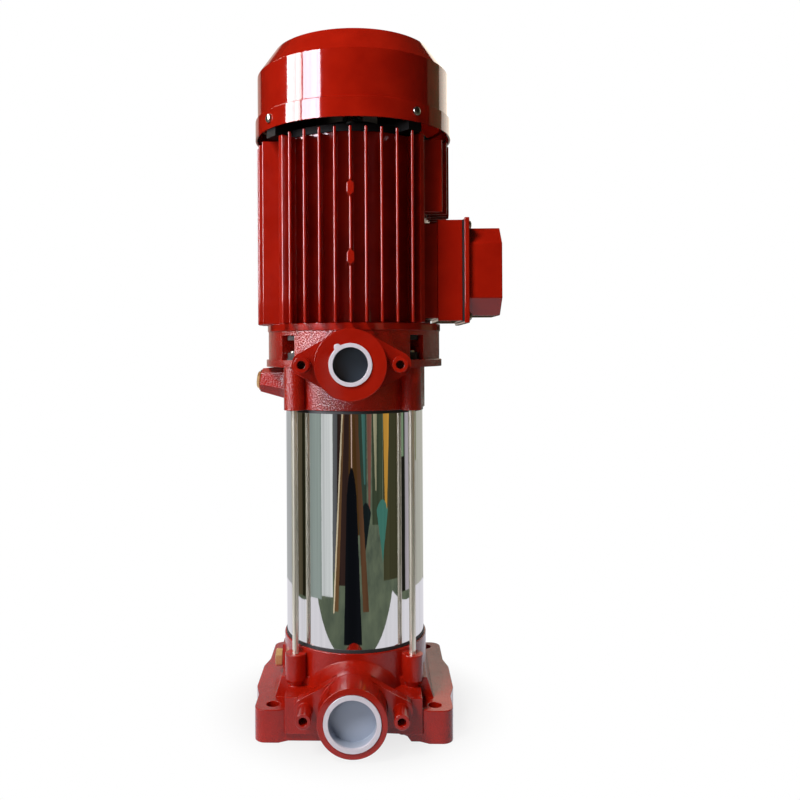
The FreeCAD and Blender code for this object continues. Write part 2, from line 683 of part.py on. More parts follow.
def pump_base():
    low_taper = 18
    solids = [foot_plate(), cylinder("base_drum", d.drum_radius, d.base_height), inlet_hood()]
    solids += foot_blocks() + port_solids("inlet", d.inlet_height, d.inlet_ring_radius)
    boss_foot = tie_boss_top - d.tie_boss_height
    solids += cylinders_on_circle("base_boss", d.tie_boss_radius, d.tie_boss_height, boss_foot)
    for number, (x, y, z, _) in enumerate(tie_rod_places(boss_foot - low_taper), start=1):
        solids.append(cone(f"base_boss_taper_{number}", 2, d.tie_boss_radius, low_taper, x, y, z))
    hollow_x = d.foot_hole_spacing_x / 2 - 3 * d.foot_hole_radius
    hollow_y = d.foot_depth / 2 - d.foot_recess - d.foot_shell
    tools = [
        cylinder("suction_chamber", d.base_cavity_radius, d.base_height - d.base_cavity_floor,
                 z=d.base_cavity_floor),
        cylinder("spider_seat", d.spider_seat_radius, d.spider_thickness,
                 z=d.base_height - d.spider_thickness),
        box("foot_hollow", (-hollow_x, -hollow_y, 0), (hollow_x, hollow_y, d.foot_hollow_depth)),
        cylinder("drain_hole", d.drain_thread_radius + d.thread_clearance, d.drum_radius,
                 x=-d.base_cavity_radius / 2, z=d.drain_height, direction="-X"),
        foot_arch(),
    ]
    tools += port_cutters("inlet", d.inlet_height, d.inlet_thread_radius, d.inlet_passage_radius)
    thread_hole = d.tie_thread_radius + d.press_gap
    tools += cylinders_on_circle("base_thread", thread_hole, d.tie_thread_length + 1,
                                 tie_boss_top - d.tie_thread_length - 1)
    for number, (side_x, side_y) in enumerate([(-1, -1), (1, -1), (1, 1), (-1, 1)], start=1):
        tools.append(cylinder(f"foot_hole_{number}", d.foot_hole_radius, d.foot_height,
                              side_x * d.foot_hole_spacing_x / 2, side_y * d.foot_hole_spacing_y / 2))
    keep(cut("pump_base", fused("base_solid", solids), tools), "pump_base")


def foot_blocks():
    """Raised parts of the foot: drafted shoulders, the wall behind the lobes, the drain boss."""
    half = d.shoulder_width / 2
    top_half = half - d.shoulder_draft
    top = d.foot_height + d.shoulder_height
    loop = [(-half, d.foot_hollow_depth), (half, d.foot_hollow_depth), (half, d.foot_height), (top_half, top),
            (-top_half, top), (-half, d.foot_height)]
    shoulders = new_body("shoulders")
    padded(shoulders, "shoulders_pad", "XZ_Plane", loop, d.shoulder_depth, d.shoulder_depth / -2)
    lobe_back = d.port_reach - d.port_ring_stand - d.port_lobe_thickness
    brow = box("inlet_brow", (d.brow_width / -2, -lobe_back, d.foot_hollow_depth),
               (d.brow_width / 2, -d.base_cavity_radius, d.foot_height + d.brow_height))
    drain_face = -d.drum_radius - d.drain_boss_stand
    drain_boss = box("drain_boss", (drain_face, d.drain_boss_width / -2, d.foot_hollow_depth),
                     (d.drum_radius * -0.75, d.drain_boss_width / 2, d.foot_height + d.drain_boss_height))
    return [shoulders, brow, drain_boss]


def inlet_hood():
    """The inlet's neck: it flares out into the drum, and the floor and the drum's top cut it off."""
    neck_radius = d.inlet_ring_radius - 1
    spread = d.hood_root_radius - neck_radius
    run = port_ring_back - d.hood_root_stand
    steps = [number / HOOD_STEPS for number in range(HOOD_STEPS + 1)]
    curve = [(neck_radius + spread * (1 - step) ** 2, d.hood_root_stand + run * step)
             for step in steps]
    flare = turned("inlet_flare", [(0, d.hood_root_stand)] + curve + [(0, port_ring_back)])
    put(flare, z=d.inlet_height, rotation=DIRECTIONS["-Y"])
    block = box("inlet_flare_limits", (-d.hood_root_radius, -port_ring_back, d.foot_hollow_depth),
                (d.hood_root_radius, -d.hood_root_stand, d.base_height))
    return shared("inlet_hood", [flare, block])


def foot_arch():
    """The arch under the front wall, right of the inlet: flat on top, rounded down to the foot."""
    arch = new_body("foot_arch")
    end, top = d.foot_arch_end, d.foot_arch_height
    loop = [(end / 3, 0), (end, 0), (end - 4, top / 2), (end - 13, top - 1), (end / 3, top)]
    padded(arch, "foot_arch_cut", "XZ_Plane", loop, d.foot_depth / 4, d.foot_depth * 0.3)
    return arch


# Sleeve, its seals and the tie rods.
def sleeve_and_seals():
    inner = d.sleeve_radius - d.sleeve_wall
    outside = d.sleeve_radius + d.sleeve_seal_lip
    keep(ring("lower_seal_ring", inner, outside, d.base_height, sleeve_foot), "lower_seal_ring")
    keep(ring("outer_sleeve", inner, d.sleeve_radius, sleeve_foot, sleeve_top), "outer_sleeve")
    keep(ring("upper_seal_ring", inner, outside, sleeve_top, head_foot), "upper_seal_ring")


def tie_rods():
    low = tie_boss_top - d.tie_thread_length
    high = shelf_top + d.washer_thickness + d.nut_height + 2
    upper_thread = shelf_foot
    rod = turned("tie_rod", [
        (0, low), (d.tie_thread_radius, low), (d.tie_thread_radius, tie_boss_top),
        (d.tie_rod_radius, tie_boss_top), (d.tie_rod_radius, upper_thread),
        (d.tie_thread_radius, upper_thread), (d.tie_thread_radius, high), (0, high),
    ])
    keep(ring_of("tie_rods", rod, tie_rod_places(0)), "tie_rods")
    hole = d.tie_thread_radius + d.press_gap
    washer = ring("tie_rod_washer", hole, d.washer_radius, 0, d.washer_thickness)
    keep(ring_of("tie_rod_washers", washer, tie_rod_places(shelf_top)), "tie_rod_washers")
    nut = cut("tie_rod_nut", hexagon("nut_block", d.nut_flats, d.nut_height),
              [cylinder("nut_hole", hole, d.nut_height)])
    keep(ring_of("tie_rod_nuts", nut, tie_rod_places(shelf_top + d.washer_thickness)), "tie_rod_nuts")


# Head casting.
def plug_frame():
    """The filling plug's seat: the point where its axis meets the drum, and its tilted direction."""
    x = -d.drum_radius
    z = head_foot + d.plug_height
    rotation = Rotation(Vector(0, 1, 0), -90 + d.plug_tilt.value)
    return x, z, rotation


def along_plug(distance):
    x, z, rotation = plug_frame()
    return x - distance * cosine(d.plug_tilt), z + distance * sine(d.plug_tilt), rotation


def tilted_cylinder(name, radius, start, length):
    x, z, rotation = along_plug(start)
    made = bind(doc.addObject("Part::Cylinder", name), Radius=radius, Height=length)
    return put(made, x, 0, z, rotation)


def filling_spout():
    """The six-sided spout that tapers outwards from the drum."""
    ends = []
    for name, flats, distance in (("spout_root", d.spout_root_flats, -d.spout_root_depth),
                                  ("spout_tip", d.spout_tip_flats, d.spout_length)):
        x, z, rotation = along_plug(distance)
        end = doc.addObject("Part::RegularPolygon", name)
        end.Polygon = 6
        bind(end, Circumradius=flats / math.sqrt(3))
        ends.append(put(end, x, 0, z, rotation * Rotation(Vector(0, 0, 1), d.spout_turn.value)))
    spout = doc.addObject("Part::Loft", "filling_spout")
    spout.Sections = ends
    spout.Solid = True
    spout.Ruled = True
    return spout


def pump_head():
    solids = [
        cylinder("head_drum", d.drum_radius, d.head_drum_height + 1, z=head_foot),
        cylinder("head_shelf", d.head_shelf_radius, d.head_shelf_thickness, z=shelf_foot),
        cylinder("head_bracket", d.head_bracket_radius, d.head_bracket_height, z=shelf_top),
        filling_spout(),
    ]
    flush_neck = head_top - outlet_height - d.press_gap
    solids.append(cylinder("outlet_neck", flush_neck, port_ring_back - d.head_chamber_radius,
                           y=-d.head_chamber_radius, z=outlet_height, direction="-Y"))
    solids += port_solids("outlet", outlet_height, d.outlet_ring_radius)
    solids += cylinders_on_circle("head_boss", d.tie_boss_radius, d.head_drum_height + 1, head_foot)
    spigot = d.motor_spigot_radius + d.press_gap
    seat_hole = d.seal_outer_radius + d.press_gap
    tools = [
        cylinder("discharge_chamber", d.head_chamber_radius, d.head_chamber_height, z=head_foot),
        cylinder("spigot_recess", spigot, d.motor_spigot_height, z=head_top - d.motor_spigot_height),
        cylinder("seal_hole", seat_hole, d.head_bracket_height, z=chamber_top - 1),
        tilted_cylinder("plug_hole", d.plug_thread_radius + d.thread_clearance,
                        -2 * d.spout_root_depth, 2 * d.spout_root_depth + d.spout_length),
    ]
    tools += port_cutters("outlet", outlet_height, d.outlet_thread_radius, d.outlet_passage_radius)
    tools += cylinders_on_circle("head_rod_hole", d.tie_hole_radius, shelf_top - head_foot, head_foot)
    tools += cylinders_on_circle("motor_bolt_hole", d.tie_hole_radius, d.head_rim_thickness, pocket_top)
    inner = d.head_bracket_radius - d.pocket_depth
    for number, angle in enumerate(QUARTERS, start=1):
        tools.append(box(f"bolt_pocket_{number}", (inner, -d.pocket_width / 2, shelf_top),
                         (d.head_shelf_radius + 1, d.pocket_width / 2, pocket_top), angle))
    keep(cut("pump_head", fused("head_solid", solids), tools, refine=False), "pump_head")


# Port caps and the two plugs.
def cap(name, height, flange_radius, mouth_radius, thread_radius):
    deep = -d.cap_depth
    wall = thread_radius - d.cap_clearance
    cup = turned(name + "_cup", [
        (0, deep), (wall, deep), (wall, 0), (flange_radius, 0), (flange_radius, d.cap_flange_thickness),
        (mouth_radius, d.cap_flange_thickness), (mouth_radius, deep + d.cap_bottom), (0, deep + d.cap_bottom),
    ])
    return put(cup, y=-d.port_reach, z=height, rotation=DIRECTIONS["-Y"])


def port_caps():
    keep(cap("inlet_cap", d.inlet_height, d.inlet_cap_flange_radius, d.inlet_cap_mouth_radius,
             d.inlet_thread_radius), "inlet_cap")
    cup = cap("outlet_cap", outlet_height, d.outlet_cap_flange_radius, d.outlet_cap_mouth_radius,
              d.outlet_thread_radius)
    tab_x = d.outlet_cap_flange_radius * cosine(d.cap_tab_angle)
    tab_z = d.outlet_cap_flange_radius * sine(d.cap_tab_angle)
    tab = cylinder("cap_tab", d.cap_tab_radius, d.cap_flange_thickness, tab_x, -d.port_reach,
                   outlet_height + tab_z, "-Y")
    clear = cylinder("cap_tab_clear", d.outlet_cap_mouth_radius, d.cap_flange_thickness, 0, -d.port_reach,
                     outlet_height, "-Y")
    keep(fused("outlet_cap_whole", [cup, cut("cap_tab_trimmed", tab, [clear])]), "outlet_cap")


def plug(name, flats, hex_length, thread_radius, thread_length):
    """A hexagon plug on its own axis, its seat at height 0 and its thread below."""
    head = hexagon(name + "_hexagon", flats, hex_length)
    edge = hex_length / 3
    dome = cone(name + "_edge", flats / 2 + edge * 1.5, flats / 2 - 0.5, edge, z=hex_length - edge)
    straight = cylinder(name + "_straight", flats, hex_length - edge)
    crown = shared(name + "_crown", [head, fused(name + "_envelope", [dome, straight])])
    thread = cylinder(name + "_thread", thread_radius, thread_length, z=-thread_length)
    return fused(name + "_whole", [crown, thread])


def plugs():
    seat = d.spout_length
    x, z, rotation = along_plug(seat + d.plug_washer_thickness)
    body = plug("fill_plug", d.plug_flats, d.plug_length, d.plug_thread_radius,
                d.plug_thread_length + d.plug_washer_thickness)
    keep(put(body, x, 0, z, rotation), "fill_plug")
    x, z, rotation = along_plug(seat)
    washer = ring("fill_washer", d.plug_thread_radius + d.thread_clearance, d.spout_tip_flats / 2, 0,
                  d.plug_washer_thickness)
    keep(put(washer, x, 0, z, rotation), "fill_washer")
    seat = d.drum_radius + d.drain_boss_stand
    body = plug("drain_plug", d.drain_flats, d.drain_length, d.drain_thread_radius,
                d.drain_thread_length + d.plug_washer_thickness)
    keep(put(body, -seat - d.plug_washer_thickness, 0, d.drain_height, DIRECTIONS["-X"]), "drain_plug")
    washer = ring("drain_washer", d.drain_thread_radius + d.thread_clearance, d.drain_flats / 2, 0,
                  d.plug_washer_thickness)
    keep(put(washer, -seat, 0, d.drain_height, DIRECTIONS["-X"]), "drain_washer")


# Stages inside the sleeve.
def bearing_spider():
    foot = d.base_height - d.spider_thickness
    outer = d.spider_seat_radius - d.press_gap
    hub_top = d.base_height + d.bush_rise
    hub_foot = hub_top - d.bush_length
    hub = d.bush_radius + d.spider_hub_wall
    bore = d.bush_radius + d.press_gap
    rim = ring("spider_rim", outer - d.spider_rim_width, outer, foot, d.base_height)
    centre = ring("spider_hub", bore, hub, hub_foot, hub_top)
    half = d.spider_arm_width / 2
    arms = [box(f"spider_arm_{number}", (hub - 1, -half, foot),
                (outer - d.spider_rim_width + 1, half, d.base_height), angle)
            for number, angle in enumerate((0, 120, 240), start=1)]
    keep(fused("bearing_spider", [rim, centre] + arms), "bearing_spider")
    inner = d.pump_shaft_radius + d.bush_clearance
    keep(ring("lower_bush", inner, d.bush_radius, hub_foot, hub_top), "lower_bush")


def stage_foot(number):
    return d.base_height + number * stage_pitch


def stage_bowls():
    for number in range(STAGES):
        name = f"stage_bowl_{number + 1}"
        foot = stage_foot(number)
        floor, top = foot + d.stage_wall, foot + stage_pitch
        inner = stack_bore - d.stage_wall
        bowl = turned(name, [(d.stage_eye_radius, foot), (stack_bore, foot), (stack_bore, top),
                             (inner, top), (inner, floor), (d.stage_eye_radius, floor)])
        keep(bowl, name)


def wear_rings():
    inner = d.neck_radius + d.eye_clearance
    shape = ring("wear_ring", inner, d.stage_eye_radius - d.press_gap, 0, d.wear_ring_height)
    places = [(0, 0, stage_foot(number), Rotation()) for number in range(STAGES)]
    keep(ring_of("wear_rings", shape, places), "wear_rings")


IMPELLER_SWEEP = 40
DIFFUSER_SWEEP = -35


def swept_vane(inner, outer, thickness, sweep):
    """A straight vane from the inner to the outer radius, leaning back round the axis."""
    end_x, end_y = outer * math.cos(math.radians(sweep)), outer * math.sin(math.radians(sweep))
    return [(inner, 0), (end_x, end_y), (end_x - thickness, end_y), (inner - thickness, 0)]


def impellers():
    bore = d.pump_shaft_radius + d.press_gap
    low = d.neck_height
    passage = low + d.shroud_thickness
    high = passage + d.vane_height
    top = high + d.shroud_thickness
    neck_foot = d.stage_wall
    eye = d.neck_radius - d.neck_wall
    lower_shroud = [(eye, neck_foot), (d.neck_radius, neck_foot), (d.neck_radius, low),
                    (d.impeller_radius, low), (d.impeller_radius, passage), (eye, passage)]
    upper_shroud = [(bore, passage), (d.impeller_hub_radius, passage), (d.impeller_hub_radius, high),
                    (d.impeller_radius, high), (d.impeller_radius, top), (d.impeller_hub_radius, top),
                    (d.impeller_hub_radius, d.impeller_hub_rise), (bore, d.impeller_hub_rise)]
    for number in range(STAGES):
        name = f"impeller_{number + 1}"
        body = turned(name, lower_shroud, upper_shroud)
        bite = d.shroud_thickness / 2
        vane = swept_vane(d.neck_radius + d.vane_inset, d.impeller_radius - d.vane_inset, d.vane_thickness,
                          IMPELLER_SWEEP)
        blade = padded(body, name + "_vane", "XY_Plane", vane, d.vane_height + 2 * bite, passage - bite)
        patterned(body, name + "_vanes", blade, d.impeller_vane_count)
        keep(put(body, z=stage_foot(number)), name)


def diffusers():
    low = d.neck_height + 2 * d.shroud_thickness + d.vane_height + d.diffuser_gap
    plate_top = low + d.stage_wall
    high = stage_pitch - d.press_gap
    outer = stack_bore - d.stage_wall - d.press_gap
    body = turned("diffuser", [(d.diffuser_bore_radius, low), (outer, low), (outer, plate_top),
                               (d.diffuser_bore_radius, plate_top)])
    vane = swept_vane(d.diffuser_bore_radius + d.diffuser_vane_start, outer - d.vane_inset, d.vane_thickness,
                      DIFFUSER_SWEEP)
    blade = padded(body, "diffuser_vane", "XY_Plane", vane, high - plate_top + 1, plate_top - 1)
    patterned(body, "diffuser_vanes", blade, d.diffuser_vane_count)
    places = [(0, 0, stage_foot(number), Rotation()) for number in range(STAGES)]
    keep(ring_of("diffusers", body, places), "diffusers")


def spacer_length():
    """From one impeller's hub to the next one's."""
    return stage_pitch - d.impeller_hub_rise + d.neck_height + d.shroud_thickness


def impeller_spacers():
    bore = d.pump_shaft_radius + d.press_gap
    shape = ring("impeller_spacer", bore, d.spacer_radius, 0, spacer_length())
    places = [(0, 0, stage_foot(number) + d.impeller_hub_rise, Rotation()) for number in range(STAGES)]
    sleeves = ring_of("impeller_spacer_set", shape, places)
    foot = d.base_height + d.bush_rise + d.seal_gap
    top = stage_foot(0) + d.neck_height + d.shroud_thickness
    keep(group("impeller_spacers", [sleeves, ring("bottom_spacer", bore, d.spacer_radius, foot, top)]),
         "impeller_spacers")


def discharge_spacer():
    foot = stage_foot(STAGES)
    inner = stack_bore - d.stage_wall
    eye = d.head_chamber_radius
    body = turned("discharge_spacer", [
        (eye, foot), (stack_bore, foot), (stack_bore, head_foot), (inner, head_foot),
        (inner, foot + d.stage_wall), (eye, foot + d.stage_wall)])
    keep(body, "discharge_spacer")


# Shaft and mechanical seal.
def shaft_marks():
    """Heights of the shaft's shoulders, upwards."""
    stack_top = stage_foot(STAGES - 1) + d.impeller_hub_rise + spacer_length()
    collar_top = chamber_top - d.seal_gap - d.seal_head_height - d.seal_bellows_height
    return stack_top, collar_top - d.seal_collar_height, collar_top


def rotor_shaft():
    foot = d.base_height - d.shaft_tail
    stack_top, collar_foot, collar_top = shaft_marks()
    collar = d.seal_outer_radius - d.seal_ring_clearance
    end = fan_top + d.shaft_end_stand
    keep(turned("rotor_shaft", [
        (0, foot), (d.pump_shaft_radius, foot), (d.pump_shaft_radius, stack_top),
        (d.seal_shaft_radius, stack_top), (d.seal_shaft_radius, collar_foot),
        (collar, collar_foot), (collar, collar_top),
        (d.seal_shaft_radius, collar_top), (d.seal_shaft_radius, drive_bearing_foot),
        (d.bearing_bore_radius, drive_bearing_foot), (d.bearing_bore_radius, drive_bearing_top),
        (d.rotor_seat_radius, drive_bearing_top), (d.rotor_seat_radius, fan_bearing_foot),
        (d.bearing_bore_radius, fan_bearing_foot), (d.bearing_bore_radius, fan_bearing_top),
        (d.fan_seat_radius, fan_bearing_top), (d.fan_seat_radius, end), (0, end),
    ]), "rotor_shaft")
    nut = cut("shaft_nut_drilled", hexagon("shaft_nut_block", d.shaft_nut_flats, d.shaft_nut_height),
              [cylinder("shaft_nut_hole", d.pump_shaft_radius + d.press_gap, d.shaft_nut_height)])
    keep(put(nut, z=foot + d.shaft_thread_end), "shaft_nut")


def mechanical_seal():
    seat_foot = chamber_top
    bore = d.seal_shaft_radius
    keep(ring("seal_seat", bore + d.seal_ring_clearance, d.seal_outer_radius, seat_foot,
              seat_foot + d.seal_seat_height), "seal_seat")
    head_high = seat_foot - d.seal_gap
    head_low = head_high - d.seal_head_height
    keep(ring("seal_head", bore + d.press_gap, d.seal_outer_radius, head_low, head_high), "seal_head")
    keep(turned("seal_bellows", bellows_outline(head_low - d.seal_bellows_height)), "seal_bellows")


def bellows_outline(foot):
    """The folded wall, up its outside and back down its inside."""
    valley = d.seal_shaft_radius + d.seal_ring_clearance
    crest = d.seal_outer_radius - d.seal_ring_clearance
    wall = d.seal_bellows_wall
    folds = int(d.seal_bellows_folds.value)
    fold = d.seal_bellows_height / d.seal_bellows_folds
    outside = [(valley + wall, foot)]
    for number in range(folds):
        outside += [(crest, foot + (number + 0.5) * fold), (valley + wall, foot + (number + 1) * fold)]
    inside = [(radius - wall, height) for radius, height in reversed(outside)]
    return outside + inside


# Motor.
def motor_flange():
    spigot_foot = head_top - d.motor_spigot_height
    shaft_hole = d.seal_shaft_radius + d.seal_ring_clearance
    housing = d.drive_bearing_radius + d.press_gap
    hub = housing + d.hub_wall
    register = d.frame_bore_radius - d.press_gap
    register_inner = register - d.register_wall
    register_top = frame_foot + d.register_height
    body = turned("motor_flange_turned", [
        (shaft_hole, spigot_foot), (d.motor_spigot_radius, spigot_foot), (d.motor_spigot_radius, head_top),
        (d.motor_flange_radius, head_top), (d.motor_flange_radius, frame_foot), (register, frame_foot),
        (register, register_top), (register_inner, register_top), (register_inner, frame_foot),
        (hub, frame_foot), (hub, drive_bearing_top), (housing, drive_bearing_top),
        (housing, drive_bearing_foot), (shaft_hole, drive_bearing_foot),
    ])
    holes = cylinders_on_circle("flange_thread", d.tie_thread_radius + d.press_gap,
                                d.motor_flange_thickness, head_top)
    keep(cut("motor_flange", body, holes), "motor_flange")


def motor_bolts():
    shank = cylinder("motor_bolt_shank", d.tie_thread_radius, d.motor_bolt_length, z=d.bolt_head_height)
    head = hexagon("motor_bolt_head", d.nut_flats, d.bolt_head_height)
    bolt = fused("motor_bolt", [head, shank])
    keep(ring_of("motor_bolts", bolt, tie_rod_places(pocket_top - d.bolt_head_height)), "motor_bolts")


def ball_bearing(name, outer, foot, width):
    bore = d.bearing_bore_radius
    top = foot + width
    outer_race, inner_race = outer - d.bearing_ring_wall, bore + d.bearing_ring_wall
    keep(ring(name + "_outer", outer_race, outer, foot, top), name + "_outer")
    keep(ring(name + "_inner", bore + d.press_gap, inner_race, foot, top), name + "_inner")
    ball_radius = (outer_race - inner_race) / 2 - d.thread_clearance
    ball = doc.addObject("Part::Sphere", name + "_ball")
    bind(ball, Radius=ball_radius)
    track = (outer_race + inner_race) / 2
    count = int(d.bearing_ball_count.value)
    angles = [360 / count * number for number in range(count)]
    return linked_copies(name + "_ball", ball, round_the_axis(track, (foot + top) / 2, angles))


def bearings():
    balls = ball_bearing("drive_bearing", d.drive_bearing_radius, drive_bearing_foot, d.drive_bearing_width)
    balls += ball_bearing("fan_bearing", d.fan_bearing_radius, fan_bearing_foot, d.fan_bearing_width)
    keep(group("bearing_balls", balls), "bearing_balls")
    outside = d.fan_bearing_radius - 1
    keep(ring("wave_spring", outside - d.wave_spring_width, outside, fan_bearing_top,
              fan_bearing_top + d.wave_spring_height), "wave_spring")


def fin_depths(offset, reach):
    """Where a fin at this distance from the axis plane starts in the frame's wall, and where it ends."""
    root_radius = d.frame_bore_radius + d.frame_wall
    start = root(root_radius * root_radius - offset * offset) - d.fin_bite
    return start, root(reach * reach - offset * offset)


FRONT_FINS = range(-4, 5)
SIDE_FINS = range(-3, 4)


def frame_fins():
    fins = []
    half = d.fin_thickness / 2
    side_foot = box_high + d.side_fin_gap
    for step in FRONT_FINS:
        offset = step * d.fin_pitch
        start, end = fin_depths(offset, d.fin_reach)
        for name, low_y, high_y in (("front", -end, -start), ("rear", start, end)):
            fins.append(box(f"fin_{name}_{step - FRONT_FINS[0]}", (offset - half, low_y, frame_foot),
                            (offset + half, high_y, frame_top)))
    for step in SIDE_FINS:
        offset = step * d.fin_pitch
        start, end = fin_depths(offset, d.fin_reach)
        fins.append(box(f"fin_left_{step - SIDE_FINS[0]}", (-end, offset - half, frame_foot),
                        (-start, offset + half, frame_top)))
        fins.append(box(f"fin_right_{step - SIDE_FINS[0]}", (start, offset - half, side_foot),
                        (end, offset + half, frame_top)))
    thick = d.corner_fin_thickness / 2
    for number, angle in enumerate(QUARTERS, start=1):
        fins.append(box(f"fin_corner_{number}", (d.frame_bore_radius + d.fin_bite, -thick, frame_foot),
                        (d.corner_fin_reach, thick, frame_top), angle))
    return fins


def lozenge_pad(name, rise):
    half_width, half_height = d.pad_width / 2, d.pad_height / 2
    shoulder = half_height - half_width
    loop = [(0, -half_height), (half_width, -shoulder), (half_width, shoulder),
            (0, half_height), (-half_width, shoulder), (-half_width, -shoulder)]
    pad = new_body(name)
    padded(pad, name + "_pad", "XZ_Plane", loop, d.pad_depth, d.fin_reach + d.pad_stand - d.pad_depth)
    return put(pad, z=frame_foot + rise)


def motor_frame():
    outer = d.frame_bore_radius + d.frame_wall
    inset = d.saddle_inset
    half = d.box_width / 2 - inset
    solids = [
        cylinder("frame_barrel", outer, frame_length, z=frame_foot),
        box("box_saddle", (d.frame_bore_radius - d.saddle_depth, -half, box_low + inset),
            (d.box_stand, half, box_high - inset)),
        lozenge_pad("pad_low", d.pad_low_rise),
        lozenge_pad("pad_high", d.pad_high_rise),
    ]
    tools = [
        cylinder("frame_bore", d.frame_bore_radius, frame_length, z=frame_foot),
        cylinder("frame_wire_hole", d.wire_hole_radius, d.saddle_depth, x=d.box_stand - d.saddle_depth,
                 z=box_middle, direction="+X"),
    ]
    bite = d.screw_length - d.shield_thickness + 1
    for number, (x, y, z, _) in enumerate(shield_bolt_places(frame_top - bite), start=1):
        tools.append(cylinder(f"frame_bolt_hole_{number}", d.screw_radius + d.press_gap, bite, x, y, z))
    keep(cut("motor_frame", fused("frame_solid", solids + frame_fins()), tools), "motor_frame")


def slot_boxes(name, low, high):
    inner = d.rotor_radius + d.air_gap + d.slot_lip
    count = int(d.slot_count.value)
    return [box(f"{name}_{number + 1}", (inner, -d.slot_width / 2, low),
                (inner + d.slot_depth, d.slot_width / 2, high), 360 / count * number)
            for number in range(count)]


def stator():
    bore = d.rotor_radius + d.air_gap
    outer = d.frame_bore_radius - d.press_gap
    slot_inner = bore + d.slot_lip
    core = ring("stator_stack", bore, outer, core_foot, core_top)
    keep(cut("stator_core", core, slot_boxes("stator_slot", core_foot, core_top)), "stator_core")
    coils = slot_boxes("coil_side", core_foot - 1, core_top + 1)
    overhang = d.winding_overhang
    ends = [
        ring("end_turns_low", slot_inner, slot_inner + d.slot_depth, core_foot - overhang, core_foot),
        ring("end_turns_high", slot_inner, slot_inner + d.slot_depth, core_top, core_top + overhang),
    ]
    keep(fused("stator_windings", coils + ends), "stator_windings")
    rotor_bore = d.rotor_seat_radius + d.press_gap
    keep(ring("rotor_core", rotor_bore, d.rotor_radius, core_foot, core_top), "rotor_core")


def fan_end_shield():
    housing = d.fan_bearing_radius + d.press_gap
    hub = housing + d.hub_wall
    register = d.frame_bore_radius - d.press_gap
    register_inner = register - d.register_wall
    register_foot = frame_top - d.register_height
    rim = d.frame_bore_radius + d.frame_wall
    plate_top = frame_top + d.shield_thickness
    hub_top = fan_bearing_top + d.hub_cap_height
    spring_top = fan_bearing_top + d.wave_spring_height
    shaft_hole = d.fan_seat_radius + 1
    body = turned("fan_shield_turned", [
        (housing, frame_top), (register_inner, frame_top), (register_inner, register_foot),
        (register, register_foot), (register, frame_top), (rim, frame_top), (rim, plate_top),
        (hub, plate_top), (hub, hub_top),
        (shaft_hole, hub_top), (shaft_hole, spring_top), (housing, spring_top),
    ])
    inside = d.cover_band_radius - d.cover_wall
    reach = root(inside * inside - d.lug_width * d.lug_width / 4) - d.press_gap
    lug_top = cover_band_top - d.lug_drop
    lugs = [box(f"cover_lug_{number}", (hub + d.lug_root, -d.lug_width / 2, frame_top),
                (reach, d.lug_width / 2, lug_top), angle)
            for number, angle in enumerate(screw_angles(), start=1)]
    tools = [fan_screw_hole(number, angle) for number, angle in enumerate(screw_angles(), start=1)]
    bolt_hole = d.screw_radius + d.press_gap
    for number, (x, y, z, _) in enumerate(shield_bolt_places(frame_top), start=1):
        tools.append(cylinder(f"shield_bolt_hole_{number}", bolt_hole, d.shield_thickness, x, y, z))
    keep(cut("fan_end_shield", fused("fan_shield_solid", [body] + lugs), tools), "fan_end_shield")


def screw_angles():
    return [angle + d.cover_screw_turn for angle in QUARTERS]


def screw_height():
    return cover_foot + d.cover_screw_rise


def fan_screw_hole(number, angle):
    start = d.cover_band_radius - d.cover_wall - d.screw_length
    hole = bind(doc.addObject("Part::Cylinder", f"cover_thread_{number}"),
                Radius=d.screw_radius + d.press_gap, Height=d.screw_length + 2)
    turn = Rotation(Vector(0, 0, 1), angle.value) * DIRECTIONS["+X"]
    return put(hole, start * cosine(angle), start * sine(angle), screw_height(), turn)


def shield_bolt_places(height):
    circle = d.frame_bore_radius + d.frame_wall / 2
    return round_the_axis(circle, height, (0, 90, 180, 270))


def pan_screw(name):
    """A pan head screw on its own axis, seat at height 0, shank below."""
    low, high = -d.screw_length, d.screw_head_height
    return turned(name, [
        (0, low), (d.screw_radius, low), (d.screw_radius, 0), (d.screw_head_radius, 0),
        (d.screw_head_radius, high * 0.5), (d.screw_head_radius * 0.7, high), (0, high),
    ])


def fan_cover_screws():
    screw = pan_screw("cover_screw")
    places = []
    for angle in screw_angles():
        turn = Rotation(Vector(0, 0, 1), angle.value) * DIRECTIONS["+X"]
        reach = d.cover_band_radius
        places.append((reach * cosine(angle), reach * sine(angle), screw_height(), turn))
    keep(ring_of("fan_cover_screws", screw, places), "fan_cover_screws")
    shield_screw = pan_screw("shield_screw")
    places = shield_bolt_places(frame_top + d.shield_thickness)
    keep(ring_of("end_shield_screws", shield_screw, places), "end_shield_screws")


